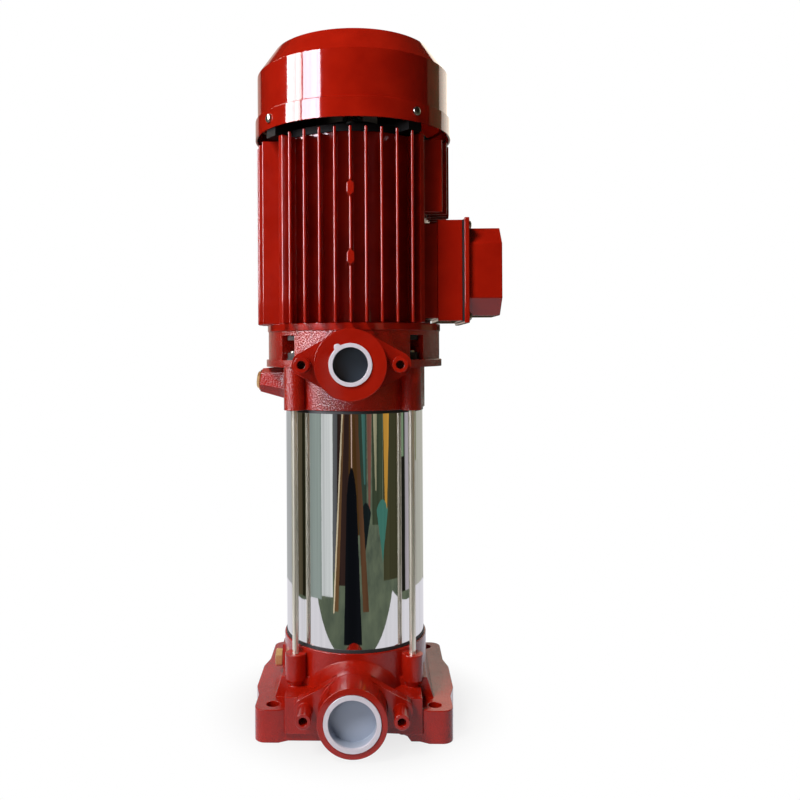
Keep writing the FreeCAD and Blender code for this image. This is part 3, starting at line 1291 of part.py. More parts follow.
def fan_cover():
    wall = d.cover_wall
    band = d.cover_band_radius
    step_top = cover_band_top + d.cover_step
    body = turned("fan_cover_shell", [
        (band - wall, cover_foot), (band, cover_foot), (band, cover_band_top),
        (d.cover_radius, step_top), (d.cover_radius, cover_wall_top),
        (d.cover_top_radius, cover_top), (0, cover_top), (0, cover_top - wall),
        (d.cover_top_radius - wall * 0.7, cover_top - wall),
        (d.cover_radius - wall, cover_wall_top - wall * 0.5),
        (d.cover_radius - wall, step_top - wall * 0.5), (band - wall, cover_band_top - wall * 0.5),
    ])
    count = int(d.grille_slot_count.value)
    half = d.grille_slot_width / 2
    tools = [box(f"grille_slot_{number + 1}", (d.grille_inner_radius, -half, cover_top - 2 * wall),
                 (d.grille_outer_radius, half, cover_top + wall), 360 / count * number)
             for number in range(count)]
    for number, angle in enumerate(screw_angles(), start=1):
        hole = bind(doc.addObject("Part::Cylinder", f"cover_screw_hole_{number}"),
                    Radius=d.screw_radius + d.press_gap, Height=wall * 3)
        turn = Rotation(Vector(0, 0, 1), angle.value) * DIRECTIONS["+X"]
        start = band - 2 * wall
        tools.append(put(hole, start * cosine(angle), start * sine(angle), screw_height(), turn))
    keep(cut("fan_cover", body, tools), "fan_cover")


def cooling_fan():
    bore = d.fan_seat_radius + d.press_gap
    hub_top = fan_top - d.fan_hub_drop
    disc, disc_top = d.fan_radius - d.fan_disc_inset, fan_foot + d.fan_disc_thickness
    body = turned("cooling_fan", [
        (bore, fan_foot), (d.fan_hub_radius, fan_foot), (disc, fan_foot), (disc, disc_top),
        (d.fan_hub_radius, disc_top), (d.fan_hub_radius, hub_top), (bore, hub_top),
    ])
    half = d.fan_blade_thickness / 2
    root_end = d.fan_hub_radius - half
    loop = [(root_end, -half), (d.fan_radius, -half), (d.fan_radius, half), (root_end, half)]
    blade = padded(body, "fan_blade", "XY_Plane", loop, d.fan_height - 1, fan_foot + 1)
    keep(patterned(body, "fan_blades", blade, d.fan_blade_count), "cooling_fan")
    keep(ring("fan_clip", bore, d.fan_seat_radius + d.clip_width, hub_top, hub_top + d.clip_thickness),
         "fan_clip")


# Terminal box on the motor's right side.
def terminal_box():
    half = d.box_width / 2
    wall = d.box_wall
    solid = box("box_block", (d.box_stand, -half, box_low), (d.box_face, half, box_high))
    tools = [
        box("box_inside", (d.box_stand + wall, wall - half, box_low + wall),
            (d.box_face, half - wall, box_high - wall)),
        cylinder("box_wire_hole", d.wire_hole_radius, wall, x=d.box_stand, z=box_middle, direction="+X"),
        cylinder("box_gland_hole", d.gland_radius + d.press_gap, wall, gland_x(), half - wall,
                 box_middle, "+Y"),
    ]
    for number, (y, z) in enumerate(cover_screw_places(), start=1):
        solid = fused(f"box_with_post_{number}", [solid, cylinder(
            f"box_post_{number}", d.screw_head_radius, d.box_face - d.box_stand, d.box_stand, y, z, "+X")])
        tools.append(cylinder(f"box_post_hole_{number}", d.screw_radius + d.press_gap, d.screw_length,
                              d.box_face - d.screw_length, y, z, "+X"))
    keep(cut("terminal_box", solid, tools), "terminal_box")


def gland_x():
    return d.box_stand + d.box_wall + d.gland_radius + d.press_gap


def cover_screw_places():
    inset = d.screw_head_radius + d.post_inset
    y = d.box_width / 2 - inset
    low, high = box_low + inset, box_high - inset
    return [(-y, low), (y, low), (y, high), (-y, high)]


def rim_corners(overhang):
    half = d.box_width / 2 + overhang
    return (-half, box_low - overhang), (half, box_high + overhang)


def terminal_gasket():
    (y0, z0), (y1, z1) = rim_corners(0)
    outer = box("gasket_sheet", (d.box_face, y0, z0), (d.box_face + d.box_gasket_thickness, y1, z1))
    (y0, z0), (y1, z1) = rim_corners(-2 * d.screw_head_radius)
    inner = box("gasket_window", (d.box_face, y0, z0), (d.box_face + d.box_gasket_thickness, y1, z1))
    holes = [cylinder(f"gasket_hole_{number}", d.screw_radius + d.press_gap, d.box_gasket_thickness,
                      d.box_face, y, z, "+X")
             for number, (y, z) in enumerate(cover_screw_places(), start=1)]
    keep(cut("terminal_gasket", outer, [inner] + holes), "terminal_gasket")


def dome_outline(shrink):
    """Eight corners of the raised part in the Y-Z plane."""
    half = d.box_dome_width / 2 - shrink
    low = box_low + d.box_dome_margin + shrink
    high = box_high - d.box_dome_margin - shrink
    chamfer = d.box_dome_chamfer
    return [(-half, low + chamfer), (chamfer - half, low), (half - chamfer, low), (half, low + chamfer),
            (half, high - chamfer), (half - chamfer, high), (chamfer - half, high), (-half, high - chamfer)]


def terminal_cover():
    rim_back = d.box_face + d.box_gasket_thickness
    rim_face = rim_back + d.box_rim_thickness
    dome_face = rim_face + d.box_dome_height
    (y0, z0), (y1, z1) = rim_corners(d.box_rim_overhang)
    rim = box("cover_rim", (rim_back, y0, z0), (rim_face, y1, z1))
    dome = new_body("cover_dome")
    padded(dome, "cover_dome_pad", "YZ_Plane", dome_outline(0), dome_face - rim_back, rim_back)
    hollow = new_body("cover_hollow")
    padded(hollow, "cover_hollow_pad", "YZ_Plane", dome_outline(d.box_wall),
           dome_face - rim_back - d.box_wall, rim_back)
    holes = [cylinder(f"cover_hole_{number}", d.screw_radius + d.press_gap, d.box_rim_thickness,
                      rim_back, y, z, "+X")
             for number, (y, z) in enumerate(cover_screw_places(), start=1)]
    keep(cut("terminal_cover", fused("cover_solid", [rim, dome]), [hollow] + holes), "terminal_cover")
    screw = pan_screw("terminal_screw")
    places = [(rim_face, y, z, DIRECTIONS["+X"]) for y, z in cover_screw_places()]
    keep(ring_of("terminal_cover_screws", screw, places), "terminal_cover_screws")


def terminal_fittings():
    back = d.box_stand + d.box_wall
    front = back + d.board_thickness
    half = d.board_size / 2
    low = box_middle + d.wire_hole_radius / 2
    board = box("board_block", (back, -half, low), (front, half, low + d.board_height))
    rows = [(step * d.stud_pitch, low + level * d.stud_row_pitch)
            for step in (-1, 0, 1) for level in (0.5, 1.5)]
    hole = d.stud_radius + d.press_gap
    holes = [cylinder(f"board_hole_{number}", hole, d.board_thickness, back, y, z, "+X")
             for number, (y, z) in enumerate(rows, start=1)]
    keep(cut("terminal_board", board, holes), "terminal_board")
    stud = fused("terminal_stud", [
        cylinder("stud_shank", d.stud_radius, d.stud_length),
        cut("stud_nut", hexagon("stud_nut_block", 4 * d.stud_radius, d.stud_nut_height),
            [cylinder("stud_nut_hole", d.stud_radius / 2, d.stud_nut_height)]),
    ])
    stud.Shapes[1].Base.setExpression("Placement.Base.z", d.board_thickness.formula)
    stud.Shapes[1].Tool.setExpression("Placement.Base.z", d.board_thickness.formula)
    keep(ring_of("terminal_studs", stud, [(back, y, z, DIRECTIONS["+X"]) for y, z in rows]), "terminal_studs")


def cable_gland():
    wall = d.box_wall
    bore = d.gland_hole_radius
    shell = d.gland_flats / 2
    thread_end = -wall - d.gland_thread_end
    barrel = turned("gland_barrel", [
        (bore, thread_end), (d.gland_radius, thread_end), (d.gland_radius, 0), (shell, 0),
        (shell, d.gland_collar), (shell - 1, d.gland_collar), (shell - 1, d.gland_nut_end),
        (shell - d.gland_taper, d.gland_length), (bore, d.gland_length),
    ])
    flats = cut("gland_hexagon", hexagon("gland_block", d.gland_flats, d.gland_body),
                [cylinder("gland_bore", bore, d.gland_body)])
    body = fused("gland_whole", [barrel, flats])
    keep(put(body, gland_x(), d.box_width / 2, box_middle, DIRECTIONS["+Y"]), "cable_gland")


def build():
    pump_base()
    sleeve_and_seals()
    tie_rods()
    pump_head()
    port_caps()
    plugs()
    bearing_spider()
    stage_bowls()
    wear_rings()
    impellers()
    diffusers()
    impeller_spacers()
    discharge_spacer()
    rotor_shaft()
    mechanical_seal()
    motor_flange()
    motor_bolts()
    bearings()
    motor_frame()
    stator()
    fan_end_shield()
    fan_cover_screws()
    fan_cover()
    cooling_fan()
    terminal_box()
    terminal_gasket()
    terminal_cover()
    terminal_fittings()
    cable_gland()


def check_and_write():
    doc.recompute()
    failed = [thing.Name for thing in doc.Objects if {"Invalid", "Error"} & set(thing.State)]
    if failed:
        raise RuntimeError("failed objects: " + ", ".join(failed))
    for thing in subparts:
        if thing.Shape.isNull() or not thing.Shape.isValid():
            raise RuntimeError(thing.Label + " has no valid shape")
    os.makedirs("parts", exist_ok=True)
    for thing in subparts:
        thing.Shape.exportStep(f"parts/{thing.Label}.step")
        print(f"{thing.Label}: {len(thing.Shape.Solids)} solids, {thing.Shape.Volume / 1000:.1f} cm3")
    print(f"{len(subparts)} sub-parts, height {cover_top.value:.1f} mm")


build()
check_and_write()
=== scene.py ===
# %% [markdown]
# # A vertical multistage fire pump
# The pump is painted red from foot to fan cover, with one band of mirror-polished steel in the middle. The
# CAD frame already holds every solid at its true size. This lesson adds what a photograph shows beyond
# that: soft casting edges, thick glossy enamel, polished and plated metal, recessed screws, and the light
# of a plain studio.

# %% Load the frame
import json
import math
import bmesh
import bpy
from mathutils import Matrix, Vector


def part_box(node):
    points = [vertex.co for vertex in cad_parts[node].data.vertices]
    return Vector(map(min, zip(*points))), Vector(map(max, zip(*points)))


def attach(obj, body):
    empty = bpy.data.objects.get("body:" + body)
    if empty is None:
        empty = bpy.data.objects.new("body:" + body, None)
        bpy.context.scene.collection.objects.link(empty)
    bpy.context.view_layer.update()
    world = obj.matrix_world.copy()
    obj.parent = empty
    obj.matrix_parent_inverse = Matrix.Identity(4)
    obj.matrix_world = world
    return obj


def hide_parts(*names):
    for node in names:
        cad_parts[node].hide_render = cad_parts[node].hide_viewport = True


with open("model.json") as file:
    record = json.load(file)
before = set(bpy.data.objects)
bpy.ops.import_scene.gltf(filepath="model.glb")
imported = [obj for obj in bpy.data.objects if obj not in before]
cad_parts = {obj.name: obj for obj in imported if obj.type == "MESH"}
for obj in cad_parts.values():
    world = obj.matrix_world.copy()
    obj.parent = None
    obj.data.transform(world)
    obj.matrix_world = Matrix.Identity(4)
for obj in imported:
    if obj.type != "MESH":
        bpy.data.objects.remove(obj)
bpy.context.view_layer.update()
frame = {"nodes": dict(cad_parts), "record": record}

MM = 0.001
nodes = frame["nodes"]

# %% [markdown]
# ## Camera first
# A product photograph is taken from some distance at the height of the object's middle. The whole pump is
# seen square on, with its ports turned a touch to the camera's left. A long view keeps the foot's top and
# the fan cover's underside in sight at once, and lens shift frames the pump without tilting the camera, so
# upright edges stay upright.

# %% Camera
CAMERA_TURN = math.radians(1.5)
CAMERA_ROLL = math.radians(0.3)
CAMERA_DISTANCE, CAMERA_HEIGHT = 944 * MM, 418 * MM
LENS_SHIFT = (0.0575, -0.065)  # in picture widths: the pump stands left of the middle, and low

camera_data = bpy.data.cameras.new("camera")
camera_data.sensor_width = camera_data.lens = 36
camera_data.shift_x, camera_data.shift_y = LENS_SHIFT
camera_data.clip_start = 0.01
camera = bpy.data.objects.new("camera", camera_data)
bpy.context.scene.collection.objects.link(camera)
stand = Vector((math.sin(CAMERA_TURN), -math.cos(CAMERA_TURN), 0)) * CAMERA_DISTANCE
facing = Matrix.Rotation(CAMERA_TURN, 4, "Z") @ Matrix.Rotation(math.radians(90), 4, "X")
camera.matrix_world = (Matrix.Translation(stand + Vector((0, 0, CAMERA_HEIGHT))) @ facing
                       @ Matrix.Rotation(-CAMERA_ROLL, 4, "Z"))
bpy.context.scene.camera = camera
print("camera stands", round(CAMERA_DISTANCE, 3), "m from the shaft")

# %% [markdown]
# ## Colour and node helpers
# Paint charts and photographs give sRGB colours, while a shader works in linear light, so one function does
# the conversion. A second one adds a node with its settings and its links, which keeps each material down
# to a short list.

# %% Helpers for materials


def linear(code):
    """A linear colour from an sRGB code."""
    channels = [int(code[i:i + 2], 16) / 255 for i in (1, 3, 5)]
    return [c / 12.92 if c <= 0.04045 else ((c + 0.055) / 1.055) ** 2.4 for c in channels] + [1.0]


def add(tree, kind, links=None, values=None, **settings):
    """A node of a kind, with its settings, the values of its inputs and what is linked to them."""
    node = tree.nodes.new(kind)
    for name, value in settings.items():
        setattr(node, name, value)
    for socket, value in (values or {}).items():
        node.inputs[socket].default_value = value
    for socket, source in (links or {}).items():
        tree.links.new(source, node.inputs[socket])
    return node


def surface(name, values):
    """A new material: itself, its tree, its shader, and the object coordinates that its patterns follow."""
    material = bpy.data.materials.new(name)
    material.use_nodes = True
    tree = material.node_tree
    tree.nodes.clear()
    shader = add(tree, "ShaderNodeBsdfPrincipled", values=values)
    add(tree, "ShaderNodeOutputMaterial", links={"Surface": shader.outputs["BSDF"]})
    place = add(tree, "ShaderNodeTexCoord").outputs["Object"]
    return material, tree, shader, place


def speckle(tree, place, size_mm, detail=3.0):
    """Soft noise whose grains are about size_mm across."""
    return add(tree, "ShaderNodeTexNoise", {"Vector": place},
               {"Scale": 1000 / size_mm, "Detail": detail, "Roughness": 0.55}).outputs["Fac"]


def ramp(tree, factor, low, high, low_colour, high_colour):
    """A colour that runs from one to the other while the factor goes from low to high."""
    node = add(tree, "ShaderNodeValToRGB", {"Fac": factor})
    node.color_ramp.elements[0].position, node.color_ramp.elements[1].position = low, high
    node.color_ramp.elements[0].color, node.color_ramp.elements[1].color = low_colour, high_colour
    return node.outputs["Color"]


def spread(tree, factor, low, high):
    """The middle of a noise, stretched to run from low to high."""
    return add(tree, "ShaderNodeMapRange", {"Value": factor}, {"From Min": 0.3, "From Max": 0.7,
               "To Min": low, "To Max": high}).outputs["Result"]


def bumped(tree, shader, height, depth_mm):
    """Relief of depth_mm on a shader."""
    bump = add(tree, "ShaderNodeBump", {"Height": height}, {"Distance": depth_mm * MM})
    tree.links.new(bump.outputs["Normal"], shader.inputs["Normal"])
    return bump


# %% [markdown]
# ## Red enamel on cast iron
# Both castings are dipped or sprayed with a thick glossy enamel. The sand mould leaves grains of about a
# millimetre under the paint, so highlights break into sparkles, while the paint itself stays smooth between
# them. Two bumps do that: a coarse one for the sand and a fine one for the paint's orange peel. The
# enamel's own binder dries on top as a clear film, so a coat over the coloured base gives the sharp, nearly
# mirror-like highlight of the wet-looking paint.

# %% Cast and enamelled red
DEEP_RED, BRIGHT_RED = "#9C1507", "#AC1B0A"
CLEAR_FILM, WORN_FILM = 0.7, 0.08
# The ports' faces stand in front of all else and are machined, so the grain ends between these two depths.
MACHINED_Y, CAST_Y = -118 * MM, -98 * MM
# The filling spout is handled with every filling, so its paint is duller: it lies left of and below these.
SPOUT_X, SPOUT_Z = (-88 * MM, -82 * MM), (386 * MM, 391 * MM)


def enamel(name, grain_mm, grain_depth, peel_depth, roughness):
    """Red enamel over grains of a given size and depth, both in millimetres."""
    material, tree, shader, place = surface(name, {
        "IOR": 1.5, "Roughness": roughness, "Specular IOR Level": 0.12,
        "Coat Weight": CLEAR_FILM, "Coat Roughness": 0.035})
    shade = ramp(tree, speckle(tree, place, 38), 0.35, 0.65, linear(DEEP_RED), linear(BRIGHT_RED))
    tree.links.new(shade, shader.inputs["Base Color"])
    gloss = spread(tree, speckle(tree, place, 14), roughness * 0.75, roughness * 1.35)
    tree.links.new(gloss, shader.inputs["Roughness"])
    where = add(tree, "ShaderNodeSeparateXYZ", {"Vector": place}).outputs
    cast = add(tree, "ShaderNodeMapRange", {"Value": where["Y"]},
               {"From Min": MACHINED_Y, "From Max": CAST_Y}).outputs[0]
    grain = add(tree, "ShaderNodeMath", {0: speckle(tree, place, grain_mm, 4), 1: cast}, operation="MULTIPLY")
    sand = bumped(tree, shader, grain.outputs[0], grain_depth)
    peel = add(tree, "ShaderNodeBump", {"Height": speckle(tree, place, 1.6, 2)},
               {"Distance": peel_depth * MM})
    tree.links.new(peel.outputs["Normal"], sand.inputs["Normal"])
    tree.links.new(sand.outputs["Normal"], shader.inputs["Coat Normal"])
    return material


def dulled_spout(material):
    """The same enamel with its clear film worn away on the filling spout."""
    tree = material.node_tree
    where = next(node for node in tree.nodes if node.type == "SEPXYZ").outputs
    shader = next(node for node in tree.nodes if node.type == "BSDF_PRINCIPLED")
    beside = add(tree, "ShaderNodeMapRange", {"Value": where["X"]},
                 {"From Min": SPOUT_X[0], "From Max": SPOUT_X[1]}).outputs[0]
    above = add(tree, "ShaderNodeMapRange", {"Value": where["Z"]},
                {"From Min": SPOUT_Z[0], "From Max": SPOUT_Z[1]}).outputs[0]
    glossy_side = add(tree, "ShaderNodeMath", {0: beside, 1: above}, operation="MAXIMUM")
    coat = add(tree, "ShaderNodeMapRange", {"Value": glossy_side.outputs[0]},
               {"To Min": WORN_FILM, "To Max": CLEAR_FILM})
    tree.links.new(coat.outputs[0], shader.inputs["Coat Weight"])
    return material


head_enamel = dulled_spout(enamel("enamelled_coarse_sand_casting", 1.8, 0.8, 0.02, 0.2))
foot_enamel = enamel("enamelled_fine_sand_casting", 2.4, 0.5, 0.02, 0.2)
sheet_enamel = enamel("enamelled_sheet_steel", 26, 0.05, 0.012, 0.1)
frame_enamel = enamel("enamelled_die_cast_aluminium", 14, 0.06, 0.01, 0.2)
print("four red enamels")

# %% [markdown]
# ## Bright metals
# The sleeve is stainless steel polished to a mirror. Its tube was ground lengthwise before, which leaves
# faint upright streaks, so a noise stretched along Z moves its roughness a little. Rods and screws are zinc
# plated: also bright, but with a softer reflection and a faint warm cloud.

# %% Polished, plated and turned metals


def bright_metal(name, colour, cloud, low, high, cloud_mm, stretch=1.0, metal=1.0):
    """Metal clouded in colour and in roughness, from low to high; a stretch below 1 draws clouds along Z."""
    material, tree, shader, place = surface(name, {"Metallic": metal})
    grain = add(tree, "ShaderNodeMapping", {"Vector": place}, {"Scale": (1, 1, stretch)}).outputs["Vector"]
    patch = speckle(tree, grain, cloud_mm)
    tree.links.new(ramp(tree, patch, 0.35, 0.7, linear(colour), linear(cloud)), shader.inputs["Base Color"])
    tree.links.new(spread(tree, patch, low, high), shader.inputs["Roughness"])
    bumped(tree, shader, speckle(tree, grain, cloud_mm / 3), 0.006)
    return material


mirror_steel = bright_metal("mirror_polished_stainless_steel", "#E9E9E7", "#DFE0DE", 0.015, 0.035, 5, 0.02)
drawn_rod = bright_metal("bright_drawn_rod", "#F0ECE0", "#E6E1D2", 0.2, 0.26, 14, 0.05, 0.7)
zinc = bright_metal("bright_zinc_plated_steel", "#A9A7A0", "#8F8C84", 0.24, 0.34, 3)
# Painted shade: the nuts, washers and bolts sit in shade, so their zinc plating is given a near-black colour.
zinc_painted_shade = bright_metal("zinc_plated_steel_painted_shade", "#3A3835", "#2E2C2A", 0.6, 0.75, 3, 1.0, 0.5)
plain_steel = bright_metal("pressed_stainless_steel", "#B9BABB", "#A8AAAC", 0.22, 0.36, 4)
ground_steel = bright_metal("ground_bearing_steel", "#C4C5C8", "#B4B6BA", 0.08, 0.16, 4)
brass = bright_metal("turned_brass", "#E6C58C", "#D4AE74", 0.3, 0.42, 2, 1.0, 0.8)
copper_metal = bright_metal("bare_copper", "#C8744C", "#A85C3A", 0.25, 0.42, 3)
laminations = bright_metal("stacked_electrical_steel", "#8C8E90", "#77797C", 0.35, 0.5, 2)
print("nine metals")

# %% [markdown]
# ## Rubber, plastic and ceramic
# The seal rings are matt black rubber and the fan and gland are black moulded plastic. All of them are
# mouldings, so a very fine, shallow grain is all that the surface needs. The fan's end shield is cast iron,
# given a dull near-black as painted shade, so that it reads as the dark gap under the cover. The seal's faces
# and the bushes are dark, fine ceramic.

# %% Mouldings


def moulding(name, colour, cloud, roughness, grain_mm, depth, **more):
    """Plastic, rubber, ceramic or a near-black of painted shade, with a fine grain."""
    material, tree, shader, place = surface(name, {"IOR": 1.5, "Roughness": roughness, **more})
    tree.links.new(ramp(tree, speckle(tree, place, 16), 0.3, 0.7, linear(colour), linear(cloud)),
                   shader.inputs["Base Color"])
    bumped(tree, shader, speckle(tree, place, grain_mm), depth)
    return material


rubber = moulding("matt_black_rubber", "#141414", "#1C1C1D", 0.6, 0.9, 0.05)
# Painted shade: the fan's end shield is given near black, standing for the dark gap under the fan cover.
gap_shade_black = moulding("black_painted_shade_iron", "#060404", "#0A0707", 0.7, 3.0, 0.1,
                        **{"Specular IOR Level": 0.15})
black_plastic = moulding("black_moulded_nylon", "#1A1A1B", "#232324", 0.42, 1.1, 0.05)
ceramic = moulding("dark_seal_ceramic", "#3A3B3D", "#45464A", 0.25, 1.5, 0.01)
print("four mouldings")

# %% [markdown]
# A port cap is blown thin and white, so its flange looks white on the red ring. The shade inside its cup is
# painted: the colour darkens with depth, from the flange's face to the cup's floor. The inlet's cup is wide
# and lit from the floor, the outlet's is narrow and high, so its painted floor shade is darker.

# %% Port caps
FLANGE_Y, CUP_FLOOR_Y = -142 * MM, -129 * MM


def cap_plastic_painted_shade(name, cup_shade_colour, edge_shade_colour):
    """Soft white plastic with painted shade: white flange, darker at the cup's edge, darkest at its floor."""
    material, tree, shader, place = surface(name, {"IOR": 1.5, "Roughness": 0.3, "Coat Weight": 0.5,
                                                   "Coat Roughness": 0.12})
    depth = add(tree, "ShaderNodeSeparateXYZ", {"Vector": place}).outputs["Y"]
    share = add(tree, "ShaderNodeMapRange", {"Value": depth},
                {"From Min": FLANGE_Y + 0.5 * MM, "From Max": CUP_FLOOR_Y}).outputs["Result"]
    colour = add(tree, "ShaderNodeValToRGB", {"Fac": share})
    # Painted shade: the cup's edge and floor colours stand for the shade inside the cup.
    stops = colour.color_ramp.elements
    stops[0].position, stops[0].color = 0.0, linear("#E2DCE8")
    stops[1].position, stops[1].color = 0.95, linear(cup_shade_colour)
    stops.new(0.12).color = linear(edge_shade_colour)
    tree.links.new(colour.outputs["Color"], shader.inputs["Base Color"])
    bumped(tree, shader, speckle(tree, place, 2.2), 0.04)
    return material


inlet_cap_painted_shade = cap_plastic_painted_shade("white_polyethylene_wide_cap_painted_shade", "#98A3B6", "#B4BBCB")
outlet_cap_painted_shade = cap_plastic_painted_shade("white_polyethylene_narrow_cap_painted_shade", "#323D49", "#46525F")
print("two caps")

# %% [markdown]
# Each solid gets the material that its real piece is made of. Stage bowls, impellers, spacers and the shaft
# are all pressed or turned stainless steel, so whatever isn't named here is plain steel.

# %% Give every CAD node its material
FINISHES = {
    head_enamel: ["pump_head"],
    foot_enamel: ["pump_base"],
    frame_enamel: ["motor_frame", "motor_flange"],
    gap_shade_black: ["fan_end_shield"],
    sheet_enamel: ["fan_cover", "terminal_box", "terminal_cover"],
    mirror_steel: ["outer_sleeve"],
    drawn_rod: ["tie_rods"],
    zinc_painted_shade: ["tie_rod_washers", "tie_rod_nuts", "motor_bolts", "end_shield_screws"],
    zinc: ["fan_cover_screws", "terminal_cover_screws", "shaft_nut", "fan_clip", "wave_spring"],
    ground_steel: ["drive_bearing_outer", "drive_bearing_inner", "fan_bearing_outer", "fan_bearing_inner",
                   "bearing_balls"],
    rubber: ["lower_seal_ring", "upper_seal_ring", "terminal_gasket"],
    inlet_cap_painted_shade: ["inlet_cap"],
    outlet_cap_painted_shade: ["outlet_cap"],
    black_plastic: ["cooling_fan", "cable_gland", "terminal_board"],
    brass: ["fill_plug", "drain_plug", "terminal_studs"],
    copper_metal: ["stator_windings", "fill_washer", "drain_washer"],
    ceramic: ["seal_seat", "seal_head", "wear_rings", "lower_bush"],
    laminations: ["stator_core", "rotor_core"],
}
finish_of = {name: material for material, names in FINISHES.items() for name in names}
for name, thing in nodes.items():
    material = finish_of.get(name, plain_steel)
    thing.data.materials.clear()
    thing.data.materials.append(material)
print(len(nodes), "nodes dressed,", len(nodes) - len(finish_of), "of them in plain steel")

# %% [markdown]
# ## Soft casting edges
# No cast or painted edge is knife sharp: the mould rounds it and the paint thickens it, and that narrow
# rounding is what catches the light. A copy of each CAD mesh gets its loose triangles merged, its flat
# areas joined, and a small bevel on every edge sharper than 30 degrees. Redrawing each casting by hand
# would drift from the CAD's sizes. Weighted normals then keep the large faces flat to a mirror, so all the
# shading's turn lies in the narrow bevel.
#
# A clamped bevel shrinks to the shortest edge of its mesh, which on a detailed casting leaves nothing to
# see. The large pieces therefore keep the full width, small enough that no corner strays more than a
# millimetre. The cover stays clamped, because the ends of its grille's slots are made of very short edges.
#
# The full width has a price on the motor's frame. Its upper end is one ring-shaped face of 366 corners, and
# after a bevel without a clamp, its triangles also lie across the bore, as a double skin. The fan's end
# shield hides that. A clamped bevel makes no such skin, but it also rounds next to nothing there.

# %% Softened copies of the painted parts
BODY_OF = {name: body for body, names in frame["record"]["behaviour"]["bodies"].items() for name in names}
SHARP_EDGE, SMOOTH_BELOW, FLAT_BELOW = 30, 40, 0.5  # degrees between two faces
MERGE_DISTANCE = 0.002 * MM
LARGE_FACES_WIN = 100  # the full weight of a face's area


def merged_copy(node_name, title):
    """A copy of a CAD mesh with its triangles joined into whole faces."""
    mesh = nodes[node_name].data.copy()
    mesh.name = title
    shape = bmesh.new()
    shape.from_mesh(mesh)
    bmesh.ops.remove_doubles(shape, verts=shape.verts, dist=MERGE_DISTANCE)
    bmesh.ops.dissolve_limit(shape, angle_limit=math.radians(FLAT_BELOW), verts=shape.verts,
                             edges=shape.edges)
    shape.to_mesh(mesh)
    shape.free()
    thing = bpy.data.objects.new(title, mesh)
    bpy.context.scene.collection.objects.link(thing)
    return thing


def bake(thing):
    """Turn an object's modifiers into plain geometry."""
    mesh = bpy.data.meshes.new_from_object(thing.evaluated_get(bpy.context.evaluated_depsgraph_get()))
    thing.modifiers.clear()
    thing.data = mesh


def smooth_by_angle(thing, degrees):
    """Shade smooth across every edge that is blunter than an angle."""
    thing.data.shade_smooth()
    thing.data.set_sharp_from_angle(angle=math.radians(degrees))


def soften(node_name, title, width_mm, full_width):
    """Replace a node by a copy with rounded edges, whose large faces keep their own normals."""
    thing = merged_copy(node_name, title)
    bevel = thing.modifiers.new("edges", "BEVEL")
    bevel.width, bevel.segments = width_mm * MM, 3 if full_width else 2
    bevel.limit_method, bevel.angle_limit = "ANGLE", math.radians(SHARP_EDGE)
    bevel.use_clamp_overlap = not full_width
    bake(thing)
    smooth_by_angle(thing, SMOOTH_BELOW)
    level = thing.modifiers.new("level", "WEIGHTED_NORMAL")
    level.keep_sharp, level.weight = True, LARGE_FACES_WIN
    bake(thing)
    thing.data.materials.clear()
    thing.data.materials.append(finish_of[node_name])
    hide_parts(node_name)
    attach(thing, BODY_OF[node_name])
    print(title, len(thing.data.polygons), "faces")


# Each piece: node, name, width of its bevel in millimetres, and whether the width is kept in full.
for details in [("pump_base", "foot_casting", 0.8, True), ("pump_head", "head_casting", 0.35, True),
                ("motor_frame", "finned_frame", 1.1, True), ("motor_flange", "lower_end_shield", 0.8, False),
                ("fan_cover", "cover_shell", 0.7, False), ("terminal_box", "box_shell", 0.8, True),
                ("terminal_cover", "box_lid", 1.0, True), ("inlet_cap", "inlet_plug_cap", 0.4, False),
                ("outlet_cap", "outlet_plug_cap", 0.4, False)]:
    soften(*details)

# %% [markdown]
# ## Cross-recessed pan screws
# Four zinc-plated pan screws hold the fan cover and four more the terminal cover. One screw is turned from
# its outline and gets its cross recess by two boolean cuts. The second cut goes a little deeper than the
# first, because two cuts with one common floor leave the boolean to choose between faces that coincide.

# %% One screw
SCREW_RADIUS, HEAD_RADIUS, HEAD_HEIGHT, SHANK = 2.45 * MM, 4.75 * MM, 3.2 * MM, 12 * MM
RECESS_LENGTH, RECESS_WIDTH = 1.25 * HEAD_RADIUS, 0.3 * HEAD_RADIUS
# Each cutter's turn in degrees and its height in heads; half of it stands above the screw.
CUTTERS = ((0, 1.1), (90, 1.12))
RIM_SHARE = 0.35  # how much of the head's height is straight, under the dome
SCREW_SMOOTH_BELOW = 35


def lathed(title, outline, steps):
    """A closed mesh turned about Z from (radius, height) points that start and end on the axis."""
    shape = bmesh.new()
    rings = []
    for radius, height in outline:
        count = 1 if radius == 0 else steps
        angles = [math.tau * i / steps for i in range(count)]
        rings.append([shape.verts.new((radius * math.cos(a), radius * math.sin(a), height)) for a in angles])
    for lower, upper in zip(rings, rings[1:]):
        for i in range(steps):
            j = (i + 1) % steps
            corners = [lower[i % len(lower)], lower[j % len(lower)],
                       upper[j % len(upper)], upper[i % len(upper)]]
            shape.faces.new(list(dict.fromkeys(corners)))
    bmesh.ops.recalc_face_normals(shape, faces=shape.faces)
    mesh = bpy.data.meshes.new(title)
    shape.to_mesh(mesh)
    shape.free()
    return mesh


